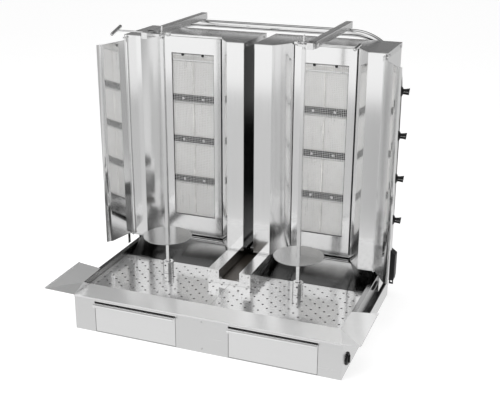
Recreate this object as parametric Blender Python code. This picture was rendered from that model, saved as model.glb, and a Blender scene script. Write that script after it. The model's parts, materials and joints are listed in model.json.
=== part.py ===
"""Twin vertical rotisserie broiler for doner and gyros, built as separate solids.

Two upright spits stand in front of two sliding burner housings.  The housings ride on
the rails of a shallow base that holds the spit motors, the drip trays and the fat
drawers.  A tube hoop behind the housings carries the arms that steady the spit tops.

Frame: metres, +Z up.  The origin is the centre of the base's footprint on the counter,
-Y is the front (the cook's side) and +X is the cook's right.
"Depth" means the distance behind the base's front panel, and "u" is the sideways
distance from a housing's own centre plane.  Lengths below are in millimetres.
"""
import math

import bmesh
import bpy
from mathutils import Matrix, Vector

MM = 0.001

# ---- driving dimensions, millimetres -------------------------------------------------
BASE_WIDTH = 1000.0
BASE_DEPTH = 687.0
FASCIA_HEIGHT = 133.0
SHEET = 1.5                  # base, guide and drawer sheet
THIN_SHEET = 1.2             # housing, apron and lip sheet
GAP = 0.3                    # fitting gap between touching pieces

TRAY_LEVEL = 148.0           # upper face of the perforated drip trays
TRAY_FRONT = 74.3
TRAY_REAR = 366.0
RAIL_TOP = 167.0
RAIL_INNER = 481.75          # inner face of the side rails
CHANNEL_FLOOR = 62.7         # underside of the side rails' outward channel
PANEL_FRONT_LENGTH = 150.0   # full-height front part of each base side

GUIDE_FRONT = 252.0          # centre guide block
GUIDE_REAR = 505.0
GUIDE_HALF_WIDTH = 83.0
GUIDE_NOTCH_HALF = 40.0
GUIDE_TOP = 200.0

HOUSING_CENTRE = 258.0
HOUSING_HALF = 238.0
HOUSING_FRONT = 448.0
HOUSING_REAR = 681.0
HOUSING_BOTTOM = 204.0
HOUSING_TOP = 1000.0
REFLECTOR_OUTER = 172.0      # u where the front flat turns into the reflector
REFLECTOR_BEND = (140.0, 490.0)
REFLECTOR_INNER = (115.5, 534.6)

BURNER_COUNT = 4
BURNER_PITCH = 162.0
BURNER_FIRST = 350.5         # centre height of the lowest burner
BURNER_HALF_WIDTH = 90.0
PLAQUE_HALF_HEIGHT = 65.0
FRAME_HALF_WIDTH = 114.0     # plate round the mesh window
MESH_HALF_WIDTH = 86.0
MESH_BOTTOM = 282.5
MESH_TOP = 931.0

SPIT_X = 256.0
SPIT_DEPTH = 276.0
SPIT_SIDE = 12.0
SPIT_TOP = 1074.0
DISC_RADIUS = 90.0
DISC_HEIGHT = 295.0
SOCKET_RADIUS = 20.0
SOCKET_TOP = 193.0

HOOP_DEPTH = 705.0
HOOP_TUBE = 14.0             # tube radius
HOOP_LEG_X = 489.0
HOOP_TOP = 1018.5            # centreline height
HOOP_BEND = 178.0            # centreline bend radius

ARM_X = 290.0
ARM_SIDE = 25.0
ARM_BOTTOM = 1033.0
ARM_FRONT = 262.0
ARM_REAR = 719.0

DOOR_HINGE = (232.0, 437.0)  # u, depth
DOOR_WIDTH = 118.0
DOOR_RIM = 25.0
DOOR_RIM_BEND = 30.0         # degrees the rim turns outward from the door
DOOR_BOTTOM = 216.0
DOOR_TOP = 982.0
DOOR_REST = {-1: 13.0, 1: 30.5}   # degrees swung outward from straight ahead
HANDLE_REST = {-1: -73.6, 1: -87.0}   # degrees each clamp crossbar leans from upright

RUNNER_DROP = 95.0           # foot of the runner that holds a housing in its rail
RUNNER_BACK = (505.0, 590.0)
HOOK_BACK = (440.0, 458.0)   # front hook outside the rail
HOOK_REACH = 19.4
HOOK_BOTTOM = 160.0

HOLE_PITCH_X = 48.2          # staggered drain holes of the drip trays
HOLE_PITCH_Y = 47.3
HOLE_ROWS = 11
HOLE_FIRST = (24.5, 101.0)   # x, depth
HOLE_RADIUS = 2.9
LOUVRE_ROWS = 8
LOUVRE_FIRST = 300.0
LOUVRE_PITCH = 85.0
LOUVRE_HALF = 70.0
LOUVRE_HEIGHT = 9.0

DRAWER_INNER = 100.0
DRAWER_OUTER = 416.0
DRAWER_DEPTH = 216.0

KNOB_DEPTH = 659.0
KNOB_FIRST = 329.0
KNOB_PITCH = 166.0
KNOB_SKIRT = 19.0            # radius of the knobs' skirts

SIDES = {-1: "left", 1: "right"}
ARM_AXIS_HEIGHT = ARM_BOTTOM + ARM_SIDE / 2

# ---- materials -----------------------------------------------------------------------
FINISHES = {
    "brushed_steel": ((0.62, 0.62, 0.63), 0.32, 1.0),
    "polished_steel": ((0.74, 0.74, 0.75), 0.10, 1.0),
    "dark_steel": ((0.12, 0.12, 0.125), 0.45, 1.0),
    "cast_grey": ((0.30, 0.30, 0.31), 0.55, 0.6),
    "ceramic": ((0.78, 0.76, 0.72), 0.85, 0.0),
    "black_plastic": ((0.02, 0.02, 0.02), 0.40, 0.0),
    "wire": ((0.50, 0.50, 0.50), 0.35, 1.0),
}


def finish(name):
    """Return the Principled material of one finish."""
    material = bpy.data.materials.new(name)
    material.use_nodes = True
    colour, roughness, metallic = FINISHES[name]
    shader = material.node_tree.nodes["Principled BSDF"]
    shader.inputs["Base Color"].default_value = (*colour, 1.0)
    shader.inputs["Roughness"].default_value = roughness
    shader.inputs["Metallic"].default_value = metallic
    return material


# ---- small geometry tools ------------------------------------------------------------
def depth(distance):
    """Turn a distance behind the base's front panel into a Y coordinate, millimetres."""
    return distance - BASE_DEPTH / 2


def place(x, back, z):
    """A point in metres from X, depth and height in millimetres."""
    return Vector((x * MM, depth(back) * MM, z * MM))


def outward(side):
    """Name of the axis that points away from the centre plane on one side."""
    return "X" if side > 0 else "-X"


def prism(outline, axis, start, end):
    """Extrude a flat outline along an axis; all values are plain millimetres.

    The outline's pairs are (y, z) for X, (x, z) for Y and (x, y) for Z.
    """
    order = {"X": (2, 0, 1), "Y": (0, 2, 1), "Z": (0, 1, 2)}[axis]
    bm = bmesh.new()
    loops = []
    for level in (start, end):
        ring = []
        for first, second in outline:
            values = (first, second, level)
            ring.append(bm.verts.new([values[i] * MM for i in order]))
        loops.append(ring)
    bm.faces.new(loops[0])
    bm.faces.new(loops[1])
    count = len(outline)
    for i in range(count):
        j = (i + 1) % count
        bm.faces.new((loops[0][i], loops[0][j], loops[1][j], loops[1][i]))
    bmesh.ops.recalc_face_normals(bm, faces=bm.faces)
    return bm


def block(x, back, z):
    """A box between pairs of limits given as X, depth and height."""
    low, high = sorted(x)
    corners = [(low, z[0]), (high, z[0]), (high, z[1]), (low, z[1])]
    return prism(corners, "Y", depth(back[0]), depth(back[1]))


def fold(path, thickness):
    """The closed outline of sheet folded along a centreline, with mitred corners."""
    half = thickness / 2
    points = [Vector(point) for point in path]
    left = []
    right = []
    for i, point in enumerate(points):
        before = (point - points[i - 1]).normalized() if i else None
        after = (points[i + 1] - point).normalized() if i + 1 < len(points) else None
        before = before or after
        after = after or before
        normal = Vector((-before.y - after.y, before.x + after.x)).normalized()
        reach = half / normal.dot(Vector((-before.y, before.x)))
        left.append(tuple(point + normal * reach))
        right.append(tuple(point - normal * reach))
    return left + right[::-1]


def circle(radius, segments, centre=(0.0, 0.0), turn=0.0):
    """Points of a circle in outline order."""
    points = []
    for i in range(segments):
        angle = turn + 2 * math.pi * i / segments
        points.append((centre[0] + radius * math.cos(angle), centre[1] + radius * math.sin(angle)))
    return points


def turned(profile, segments, axis="Z"):
    """Turn (radius, height) pairs about an axis; a radius of 0 closes the end to a point."""
    bm = bmesh.new()
    rings = []
    for radius, height in profile:
        if radius == 0:
            rings.append([bm.verts.new((0, 0, height * MM))])
            continue
        rings.append([bm.verts.new((x * MM, y * MM, height * MM)) for x, y in circle(radius, segments)])
    for lower, upper in zip(rings, rings[1:]):
        for i in range(segments):
            j = (i + 1) % segments
            below = [lower[i % len(lower)], lower[j % len(lower)]]
            above = [upper[j % len(upper)], upper[i % len(upper)]]
            bm.faces.new(list(dict.fromkeys(below + above)))
    if axis == "X":
        bm.transform(Matrix.Rotation(math.pi / 2, 4, "Y"))
    if axis == "-X":
        bm.transform(Matrix.Rotation(-math.pi / 2, 4, "Y"))
    if axis == "Y":
        bm.transform(Matrix.Rotation(-math.pi / 2, 4, "X"))
    bmesh.ops.recalc_face_normals(bm, faces=bm.faces)
    return bm


def rod(radius, start, end, segments, axis="Z"):
    """A plain round bar between two positions along an axis."""
    return turned([(0, start), (radius, start), (radius, end), (0, end)], segments, axis)


def moved(bm, offset):
    """Shift a shape by a vector in metres."""
    bm.transform(Matrix.Translation(offset))
    return bm


def combine(shapes):
    """Put several separate shapes into one mesh, for use as one cutter."""
    whole = bmesh.new()
    for shape in shapes:
        mesh = bpy.data.meshes.new("piece")
        shape.to_mesh(mesh)
        shape.free()
        whole.from_mesh(mesh)
        bpy.data.meshes.remove(mesh)
    return whole


def temporary(bm, name):
    """Wrap a shape in an object of its own."""
    mesh = bpy.data.meshes.new(name)
    bm.to_mesh(mesh)
    bm.free()
    item = bpy.data.objects.new(name, mesh)
    bpy.context.scene.collection.objects.link(item)
    return item


def boolean(first, second, operation):
    """Join or cut two shapes exactly and return the result as a new shape."""
    body = temporary(first, "body")
    tool = temporary(second, "tool")
    modifier = body.modifiers.new("boolean", "BOOLEAN")
    modifier.object = tool
    modifier.operation = operation
    modifier.solver = "EXACT"
    evaluated = body.evaluated_get(bpy.context.evaluated_depsgraph_get())
    result = bmesh.new()
    result.from_mesh(evaluated.to_mesh())
    for item in (body, tool):
        mesh = item.data
        bpy.data.objects.remove(item)
        bpy.data.meshes.remove(mesh)
    bmesh.ops.remove_doubles(result, verts=result.verts, dist=1e-6)
    return result


def join(shape, *others):
    """Weld overlapping shapes into one body."""
    for other in others:
        shape = boolean(shape, other, "UNION")
    return shape


def cut(shape, *tools):
    """Remove each tool's volume from a shape."""
    for tool in tools:
        shape = boolean(shape, tool, "DIFFERENCE")
    return shape


def part(name, bm, material, pivot=None, smooth=False, turn=0.0, turn_axis="Z"):
    """Make a named part.  A pivot becomes the object's origin, for pieces that move."""
    if pivot is not None:
        bm.transform(Matrix.Translation(-pivot))
    mesh = bpy.data.meshes.new(name)
    bm.to_mesh(mesh)
    bm.free()
    if smooth:
        mesh.shade_smooth()
        mesh.set_sharp_from_angle(angle=math.radians(35))
    mesh.materials.append(material)
    item = bpy.data.objects.new(name, mesh)
    bpy.context.scene.collection.objects.link(item)
    if pivot is not None:
        item.location = pivot
    item.rotation_euler["XYZ".index(turn_axis)] = turn
    return item


# ---- base ----------------------------------------------------------------------------
def base_shell(steel):
    """Floor, sides and rear wall of the base, with drawer runners on the floor."""
    half = BASE_WIDTH / 2 - SHEET / 2
    front = 1.8
    top = RAIL_TOP - 1.0
    profile = fold([(-half, top), (-half, SHEET / 2), (half, SHEET / 2), (half, top)], SHEET)
    shell = prism(profile, "Y", depth(front), depth(BASE_DEPTH - 1.0))
    reach = BASE_WIDTH / 2 + 10
    for side in SIDES:
        channel = block((side * 470, side * reach), (PANEL_FRONT_LENGTH, BASE_DEPTH + 5), (62.0, 220.0))
        corner = [(0.0, FASCIA_HEIGHT - 2.5), (front, FASCIA_HEIGHT - 2.5), (18.0, 162.0),
                  (24.0, top + 1), (24.0, 220.0), (0.0, 220.0)]
        slope = [(depth(y), z) for y, z in corner]
        shell = cut(shell, channel, prism(slope, "X", side * 470, side * reach))
    rear_low = block((-499.2, 499.2), (BASE_DEPTH - 2, BASE_DEPTH), (0.7, 61.0))
    rear_high = block((-480.8, 480.8), (BASE_DEPTH - 2, BASE_DEPTH - 0.4), (60.0, 194.4))
    shell = join(shell, rear_low, rear_high)
    for side in SIDES:
        for x in (DRAWER_INNER + 11, DRAWER_OUTER - 11):
            shell = join(shell, block((side * (x - 4), side * (x + 4)), (22, 225), (1.0, 7.7)))
    part("base_shell", shell, steel)


def front_fascia(steel):
    """Front panel with two drawer openings and a top flange."""
    top = FASCIA_HEIGHT - 1.4
    path = [(depth(SHEET / 2), 0.0), (depth(SHEET / 2), top), (depth(12.0), top)]
    panel = prism(fold(path, SHEET), "X", -BASE_WIDTH / 2, BASE_WIDTH / 2)
    for side in SIDES:
        opening = block((side * (DRAWER_INNER - 1.5), side * (DRAWER_OUTER + 1.5)), (-5, 5), (2.5, 121.5))
        corner = block((side * 498.2, side * 505), (1.6, 20), (120, 140))
        panel = cut(panel, opening, corner)
    part("front_fascia", panel, steel)


def front_lip(steel):
    """Sloping strip in front of the trays, ending in a flared wing at each side."""
    bm = bmesh.new()

    def corner(x, back, z):
        return bm.verts.new(place(x, back, z))

    edges = []
    for side in SIDES:
        fold_down = corner(side * 500.0, -1.9, 130.2)
        fascia_corner = corner(side * 500.0, -1.9, 134.6)
        tray_corner = corner(side * 481.2, TRAY_FRONT - 0.8, TRAY_LEVEL + 0.6)
        inner_front = corner(side * 481.2, 38.0, 170.2)
        inner_rear = corner(side * 484.0, 162.0, 170.8)
        outer_rear = corner(side * 576.0, 167.0, 178.0)
        tip = corner(side * 575.0, -70.0, 176.0)
        hem_rear = corner(side * 577.0, 167.0, 181.5)
        hem_tip = corner(side * 576.0, -71.0, 179.5)
        faces = [
            (tray_corner, inner_front, fascia_corner),
            (inner_front, tip, fascia_corner),
            (inner_front, inner_rear, outer_rear, tip),
            (tip, outer_rear, hem_rear, hem_tip),
        ]
        for face in faces:
            bm.faces.new(face if side > 0 else face[::-1])
        edges.append((fold_down, fascia_corner, tray_corner))
    (left_fold, left_fascia, left_tray), (right_fold, right_fascia, right_tray) = edges
    bm.faces.new((left_tray, left_fascia, right_fascia, right_tray))
    bm.faces.new((left_fascia, left_fold, right_fold, right_fascia))
    bmesh.ops.recalc_face_normals(bm, faces=bm.faces)
    item = part("front_lip", bm, steel)
    solid = item.modifiers.new("sheet", "SOLIDIFY")
    solid.thickness = THIN_SHEET * MM
    solid.offset = -1.0
    solid.use_quality_normals = True


def tray(side, steel):
    """Removable perforated drip tray: a shallow inverted pan with staggered holes."""
    inner = GAP
    outer = RAIL_INNER - 0.75
    pan = block((side * inner, side * outer), (TRAY_FRONT, TRAY_REAR), (TRAY_LEVEL - 13.8, TRAY_LEVEL))
    hollow = block((side * (inner + 1.2), side * (outer - 1.2)), (TRAY_FRONT + 1.2, TRAY_REAR - 1.2),
                   (TRAY_LEVEL - 20.0, TRAY_LEVEL - 1.2))
    pan = cut(pan, hollow)
    tools = []
    for row in range(HOLE_ROWS):
        back = HOLE_FIRST[1] + row * HOLE_PITCH_Y / 2
        shifted = row % 2
        for column in range(10 - shifted):
            x = HOLE_FIRST[0] + (column + shifted / 2) * HOLE_PITCH_X
            under_guide = x < GUIDE_HALF_WIDTH + 5 and back > GUIDE_FRONT - 6
            near_drive = math.hypot(x - SPIT_X, back - SPIT_DEPTH) < 30
            if under_guide or near_drive:
                continue
            outline = circle(HOLE_RADIUS, 6, (side * x, depth(back)))
            tools.append(prism(outline, "Z", TRAY_LEVEL - 8, TRAY_LEVEL + 5))
    drive = circle(12.0, 16, (side * SPIT_X, depth(SPIT_DEPTH)))
    tools.append(prism(drive, "Z", TRAY_LEVEL - 8, TRAY_LEVEL + 5))
    part(f"drip_tray_{SIDES[side]}", cut(pan, combine(tools)), steel)


def side_rail(side, steel):
    """Folded side rail: inner wall beside the tray and a channel that opens outward."""
    face = RAIL_INNER + SHEET / 2
    outer = 497.2
    top = RAIL_TOP - SHEET / 2
    floor = CHANNEL_FLOOR + SHEET / 2
    path = [(outer, 160.0), (outer, top), (face, top), (face, TRAY_LEVEL), (face, floor), (outer, floor)]
    outline = [(side * x, z) for x, z in fold(path, SHEET)]
    rail = prism(outline, "Y", depth(52.0), depth(BASE_DEPTH - 3))
    start = depth(52.0) * MM
    for vertex in rail.verts:
        if abs(vertex.co.y - start) < 1e-6:
            drop = max(0.0, RAIL_TOP - vertex.co.z / MM)
            vertex.co.y = depth(52.0 + min(36.0, drop * 36.0 / 19.0)) * MM
    ledge = block((side * 470.0, side * (face - 0.1)), (84, TRAY_REAR), (131.9, 133.9))
    part(f"side_rail_{SIDES[side]}", join(rail, ledge), steel)


def rear_apron(steel):
    """Polished scoop that rises from the trays to the foot of the burner housings."""
    rise = 48.2
    run = 153.4
    radius = (run * run + rise * rise) / (2 * rise)
    sweep = math.asin(run / radius)
    steps = 12
    start = (TRAY_REAR + 0.8, TRAY_LEVEL - 0.7)
    path = []
    for i in range(steps + 1):
        angle = sweep * i / steps
        path.append((depth(start[0] + radius * math.sin(angle)), start[1] + radius * (1 - math.cos(angle))))
    path.append((depth(BASE_DEPTH - 3), start[1] + rise))
    half = RAIL_INNER - 0.5
    apron = prism(fold(path, THIN_SHEET), "X", -half, half)
    slot = GUIDE_HALF_WIDTH + 1.6
    part("rear_apron", cut(apron, block((-slot, slot), (TRAY_REAR - 5, GUIDE_REAR + 1), (100, 250))), steel)


def centre_guide(steel):
    """Guide block between the spits; the housings' inner feet slide on its two rails."""
    low = TRAY_LEVEL + 0.4
    outer = GUIDE_HALF_WIDTH
    plate = block((-outer, outer), (GUIDE_FRONT, GUIDE_FRONT + SHEET), (low, GUIDE_TOP))
    notch = block((-GUIDE_NOTCH_HALF, GUIDE_NOTCH_HALF), (GUIDE_FRONT - 5, GUIDE_FRONT + 5), (167.0, 230.0))
    guide = cut(plate, notch)
    for side in SIDES:
        top = GUIDE_TOP - SHEET / 2 - 0.1
        path = [(30.0, 172.0), (40.9, 172.0), (40.9, top), (82.1, top), (82.1, low + 0.2)]
        outline = [(side * x, z) for x, z in fold(path, SHEET)]
        guide = join(guide, prism(outline, "Y", depth(GUIDE_FRONT + 0.7), depth(GUIDE_REAR)))
    floor = block((-41.2, 41.2), (GUIDE_FRONT + 0.9, GUIDE_REAR - 1), (164.6, 165.8))
    walls = []
    for side in SIDES:
        along = (GUIDE_FRONT + 0.8, GUIDE_REAR - 0.8)
        walls.append(block((side * 39.9, side * 41.1), along, (165.2, 172.6)))
    part("centre_guide", join(guide, floor, *walls), steel)


def fat_drawer(side, steel):
    """Pull-out fat drawer: front panel with a folded grip lip and an open pan behind."""
    inner = DRAWER_INNER
    outer = DRAWER_OUTER
    pan = block((side * (inner + 4), side * (outer - 4)), (0.6, DRAWER_DEPTH), (8.0, 92.0))
    hollow = block((side * (inner + 5.5), side * (outer - 5.5)), (2.2, DRAWER_DEPTH - SHEET), (9.5, 110.0))
    pan = cut(pan, hollow)
    front = SHEET / 2
    lip = [(-13.5, 116.0), (-17.5, 114.0), (-19.0, 110.0), (-18.0, 106.0), (-15.0, 103.5)]
    path = [(front, 4.0), (front, 116.0)] + lip
    sheet = fold([(depth(back), z) for back, z in path], SHEET)
    face = prism(sheet, "X", side * inner, side * outer)
    pivot = place(side * (inner + outer) / 2, 0.0, 60.0)
    part(f"fat_drawer_{SIDES[side]}", join(pan, face), steel, pivot=pivot)


# ---- spit drive ----------------------------------------------------------------------
def gear_motor(side, grey):
    """Gear motor under the tray: foot plate, gearbox and motor."""
    x = side * SPIT_X
    foot = block((x - 55, x + 55), (226, 336), (1.9, 5.0))
    gearbox = block((x - 42, x + 42), (234, 318), (4.0, 128.0))
    motor = moved(rod(34, 0, 110, 20, "Y"), place(x, 310, 74))
    cap = moved(rod(26, 0, 14, 20, "Y"), place(x, 412, 74))
    part(f"gear_motor_{SIDES[side]}", join(foot, gearbox, motor, cap), grey, smooth=True)


def square_hole(x, low, high, size):
    """A square cutter on a spit's axis."""
    half = size / 2
    return block((x - half, x + half), (SPIT_DEPTH - half, SPIT_DEPTH + half), (low, high))


def drive_socket(side, polished):
    """Socket on the gear motor's shaft that takes the foot of the spit."""
    x = side * SPIT_X
    shaft_bottom = 128.5
    low = TRAY_LEVEL + 0.6
    profile = [(0, shaft_bottom), (8, shaft_bottom), (8, low), (SOCKET_RADIUS, low),
               (SOCKET_RADIUS, SOCKET_TOP - 2), (SOCKET_RADIUS - 2, SOCKET_TOP), (0, SOCKET_TOP)]
    body = moved(turned(profile, 28), place(x, SPIT_DEPTH, 0))
    body = cut(body, square_hole(x, 160, SOCKET_TOP + 5, SPIT_SIDE + 0.8))
    part(f"drive_socket_{SIDES[side]}", body, polished, pivot=place(x, SPIT_DEPTH, low), smooth=True)


def spit(side, steel):
    """Square spit with a round pin on top."""
    x = side * SPIT_X
    shoulder = 1028.0
    bar = square_hole(x, 161.0, shoulder, SPIT_SIDE)
    neck = [(0, shoulder - 5), (5.5, shoulder - 5), (5.5, shoulder + 4), (4, shoulder + 7),
            (4, SPIT_TOP - 3), (1.5, SPIT_TOP), (0, SPIT_TOP)]
    pin = moved(turned(neck, 16), place(x, SPIT_DEPTH, 0))
    part(f"spit_{SIDES[side]}", join(bar, pin), steel, pivot=place(x, SPIT_DEPTH, shoulder))


def meat_disc(side, polished):
    """Disc that carries the foot of the meat cone, with its hub below."""
    x = side * SPIT_X
    low = DISC_HEIGHT - 1.5
    profile = [(0, low - 14), (11, low - 14), (11, low), (DISC_RADIUS - 1, low), (DISC_RADIUS, low + 1),
               (DISC_RADIUS, low + 2), (DISC_RADIUS - 1, low + 3), (0, low + 3)]
    disc = moved(turned(profile, 40), place(x, SPIT_DEPTH, 0))
    disc = cut(disc, square_hole(x, low - 20, low + 10, SPIT_SIDE + 0.8))
    part(f"meat_disc_{SIDES[side]}", disc, polished, pivot=place(x, SPIT_DEPTH, DISC_HEIGHT), smooth=True)


# ---- frame and upper bearings --------------------------------------------------------
def frame_hoop(steel):
    """Bent tube behind the housings, open at both feet."""
    bend_steps = 7
    foot = 68.0
    stations = [(-HOOP_LEG_X, foot, 0.0)]
    for sign in (-1, 1):
        centre = sign * (HOOP_LEG_X - HOOP_BEND)
        for i in range(bend_steps + 1):
            quarter = math.pi / 2 * i / bend_steps
            turn = quarter if sign < 0 else math.pi / 2 + quarter
            x = centre - HOOP_BEND * math.cos(turn)
            z = HOOP_TOP - HOOP_BEND + HOOP_BEND * math.sin(turn)
            stations.append((x, z, turn))
    stations.append((HOOP_LEG_X, foot, math.pi))
    bm = bmesh.new()
    walls = []
    for radius in (HOOP_TUBE, HOOP_TUBE - 2.0):
        rings = []
        for x, z, turn in stations:
            ring = []
            for across, back in circle(radius, 14):
                point = (x - across * math.cos(turn), HOOP_DEPTH + back, z + across * math.sin(turn))
                ring.append(bm.verts.new(place(*point)))
            rings.append(ring)
        for lower, upper in zip(rings, rings[1:]):
            for i in range(14):
                j = (i + 1) % 14
                bm.faces.new((lower[i], lower[j], upper[j], upper[i]))
        walls.append(rings)
    for end in (0, -1):
        outer, inner = walls[0][end], walls[1][end]
        for i in range(14):
            j = (i + 1) % 14
            bm.faces.new((outer[i], outer[j], inner[j], inner[i]))
    bmesh.ops.recalc_face_normals(bm, faces=bm.faces)
    part("frame_hoop", bm, steel, smooth=True)


def leg_bracket(side, dark):
    """Box bracket at a rear corner of the base that holds one foot of the hoop."""
    outline = [(472, 64), (519, 64), (521, 82), (521, 172), (501, 187), (472, 187)]
    outline = [(side * x, z) for x, z in outline]
    body = prism(outline, "Y", depth(BASE_DEPTH + GAP), depth(724))
    lug_back = (702, 707)
    lug = block((side * 500, side * 516), lug_back, (42, 66))
    hole = moved(rod(4.5, -10, 10, 14, "Y"), place(side * 508.5, 705, 52))
    bore = moved(rod(HOOP_TUBE + 0.6, 66, 250, 14), place(side * HOOP_LEG_X, HOOP_DEPTH, 0))
    part(f"leg_bracket_{SIDES[side]}", cut(join(body, lug), hole, bore), dark)


def top_arm(side, steel):
    """Square tube on top of the hoop that guides the slider of one spit bearing."""
    x = side * ARM_X
    half = ARM_SIDE / 2
    top = ARM_BOTTOM + ARM_SIDE
    tube = block((x - half, x + half), (ARM_FRONT, ARM_REAR), (ARM_BOTTOM, top))
    nut = circle(7.5, 6, (depth(SPIT_DEPTH), ARM_AXIS_HEIGHT))
    tube = join(tube, prism(nut, "X", side * (ARM_X + half - 1), side * (ARM_X + half + 6)))
    wall = 1.6
    inside = (ARM_BOTTOM + wall, top - wall)
    bore = block((x - half + wall, x + half - wall), (ARM_FRONT - 5, ARM_REAR + 5), inside)
    screw = circle(3.5, 12, (depth(SPIT_DEPTH), ARM_AXIS_HEIGHT))
    tube = cut(tube, bore, prism(screw, "X", side * (ARM_X + 5), side * (ARM_X + half + 20)))
    part(f"top_arm_{SIDES[side]}", tube, steel)


def slider_bar(side, steel):
    """Bar that slides in the top arm and ends in a fork round the spit's top pin."""
    x = side * ARM_X
    half = ARM_SIDE / 2 - 1.6 - 0.35
    front = {-1: 209.0, 1: 229.0}[side]
    middle = ARM_AXIS_HEIGHT
    bar = block((x - half, x + half), (front, 520), (middle - half, middle + half))
    inboard = side * SPIT_X
    bridge = block((x, inboard - side * 8), (ARM_FRONT - 26, ARM_FRONT - 2), (middle - 4, middle + 4))
    neck = block((inboard - 9, inboard + 9), (ARM_FRONT - 24, SPIT_DEPTH), (middle - 3.6, middle + 3.6))
    eye = moved(rod(11, middle - 7, middle + 7, 20), place(inboard, SPIT_DEPTH, 0))
    bar = join(bar, bridge, neck, eye)
    throat = moved(rod(4.6, middle - 20, middle + 20, 16), place(inboard, SPIT_DEPTH, 0))
    mouth = block((inboard - 4.5, inboard + 4.5), (SPIT_DEPTH, SPIT_DEPTH + 20), (middle - 21, middle + 21))
    pivot = place(x, front, middle)
    part(f"slider_bar_{SIDES[side]}", cut(bar, throat, mouth), steel, pivot=pivot)


def t_handle(side, steel):
    """Clamp screw of a slider, with a crossbar to turn it by hand."""
    tip = ARM_X + 11.4
    end = 434.0
    shank = rod(3, 0, end - tip, 12, outward(side))
    screw = moved(shank, place(side * tip, SPIT_DEPTH, ARM_AXIS_HEIGHT))
    bar = moved(rod(5, -37, 37, 14), place(side * end, SPIT_DEPTH, ARM_AXIS_HEIGHT))
    pivot = place(side * (ARM_X + ARM_SIDE / 2), SPIT_DEPTH, ARM_AXIS_HEIGHT)
    part(f"t_handle_{SIDES[side]}", join(screw, bar), steel, pivot=pivot, smooth=True,
         turn=math.radians(HANDLE_REST[side]), turn_axis="X")


# ---- burner housings -----------------------------------------------------------------
def housing_x(side, u):
    """X of a point u outboard of a housing's centre plane."""
    return side * (HOUSING_CENTRE + u)


def front_line(inset):
    """The W-shaped front of a housing in plan, moved back by an inset, as (u, depth)."""
    bend_u, bend_back = REFLECTOR_BEND
    inner_u, inner_back = REFLECTOR_INNER
    half = [(REFLECTOR_OUTER, HOUSING_FRONT + inset), (bend_u, bend_back + inset),
            (inner_u, inner_back + inset)]
    return [(-u, back) for u, back in half] + half[::-1]


def in_plan(side, points):
    """Plan points (u, depth) of one housing as (x, y)."""
    return [(housing_x(side, u), depth(back)) for u, back in points]


def casing(side, steel):
    """Sheet casing of a housing: sides, rear wall and floor, with its sliding feet."""
    wall = HOUSING_HALF - THIN_SHEET / 2
    front = HOUSING_FRONT + 1.0
    rear = HOUSING_REAR - THIN_SHEET / 2
    path = [(-wall, front), (-wall, rear), (wall, rear), (wall, front)]
    outline = in_plan(side, fold(path, THIN_SHEET))
    shell = prism(outline, "Z", HOUSING_BOTTOM, HOUSING_TOP - GAP)
    edge = HOUSING_HALF - 0.7
    step = HOUSING_FRONT + THIN_SHEET
    floor = [(-edge, step)] + front_line(THIN_SHEET) + [(edge, step), (edge, rear), (-edge, rear)]
    shell = join(shell, prism(in_plan(side, floor), "Z", HOUSING_BOTTOM + 0.5, HOUSING_BOTTOM + 1.9))

    # runner that reaches round the side rail into its outward channel
    outer = housing_x(side, HOUSING_HALF)
    root = block((outer - side * 0.8, outer + side * 4.5), RUNNER_BACK, (205.0, 216.0))
    drop = block((outer + side * 3.0, outer + side * 4.4), RUNNER_BACK, (RUNNER_DROP + 0.2, 206.0))
    foot = block((outer - side * 10.0, outer + side * 3.4), RUNNER_BACK, (RUNNER_DROP, RUNNER_DROP + 2.0))
    shell = join(shell, root, drop, foot)
    # hook at the front corner, clear of the rail's outer side
    tip = outer + side * HOOK_REACH
    hook_front, hook_rear = HOOK_BACK
    arm = block((outer - side * 0.8, tip), (HOUSING_FRONT + 1.1, hook_rear), (205.0, 207.0))
    tongue = block((outer + side * 2.0, tip), (hook_front, hook_rear - 1.0), (205.1, 206.9))
    plate = block((tip - side * 1.4, tip + side * 0.1), HOOK_BACK, (HOOK_BOTTOM, 206.8))
    shell = join(shell, arm, tongue, plate)
    # inner foot on the centre guide
    foot_x = (side * 46.0, side * 79.0)
    shell = join(shell, block(foot_x, (456, 500), (GUIDE_TOP + 0.4, HOUSING_BOTTOM + 1.0)))

    tools = []
    for i in range(BURNER_COUNT):
        hole = circle(6.0, 12, (depth(KNOB_DEPTH), KNOB_FIRST + i * KNOB_PITCH))
        tools.append(prism(hole, "X", outer - side * 6, outer + side * 6))
    # louvre slots that feed air to the burners
    for row in range(LOUVRE_ROWS):
        z = LOUVRE_FIRST + row * LOUVRE_PITCH
        across = (housing_x(side, -LOUVRE_HALF), housing_x(side, LOUVRE_HALF))
        tools.append(block(across, (HOUSING_REAR - 6, HOUSING_REAR + 6), (z, z + LOUVRE_HEIGHT)))
    part(f"housing_casing_{SIDES[side]}", cut(shell, combine(tools)), steel)


def reflector_panel(side, steel):
    """Front sheet of a housing: flats, angled reflectors and a back plate with windows."""
    edge = HOUSING_HALF - 0.5
    path = [(-edge, HOUSING_FRONT)] + front_line(0.0) + [(edge, HOUSING_FRONT)]
    panel = prism(in_plan(side, fold(path, THIN_SHEET)), "Z", HOUSING_BOTTOM + 2.4, HOUSING_TOP - 0.6)
    windows = []
    across = (housing_x(side, -BURNER_HALF_WIDTH), housing_x(side, BURNER_HALF_WIDTH))
    half_height = PLAQUE_HALF_HEIGHT + 0.5
    for i in range(BURNER_COUNT):
        z = BURNER_FIRST + i * BURNER_PITCH
        windows.append(block(across, (525, 545), (z - half_height, z + half_height)))
    part(f"reflector_panel_{SIDES[side]}", cut(panel, combine(windows)), steel)


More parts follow.
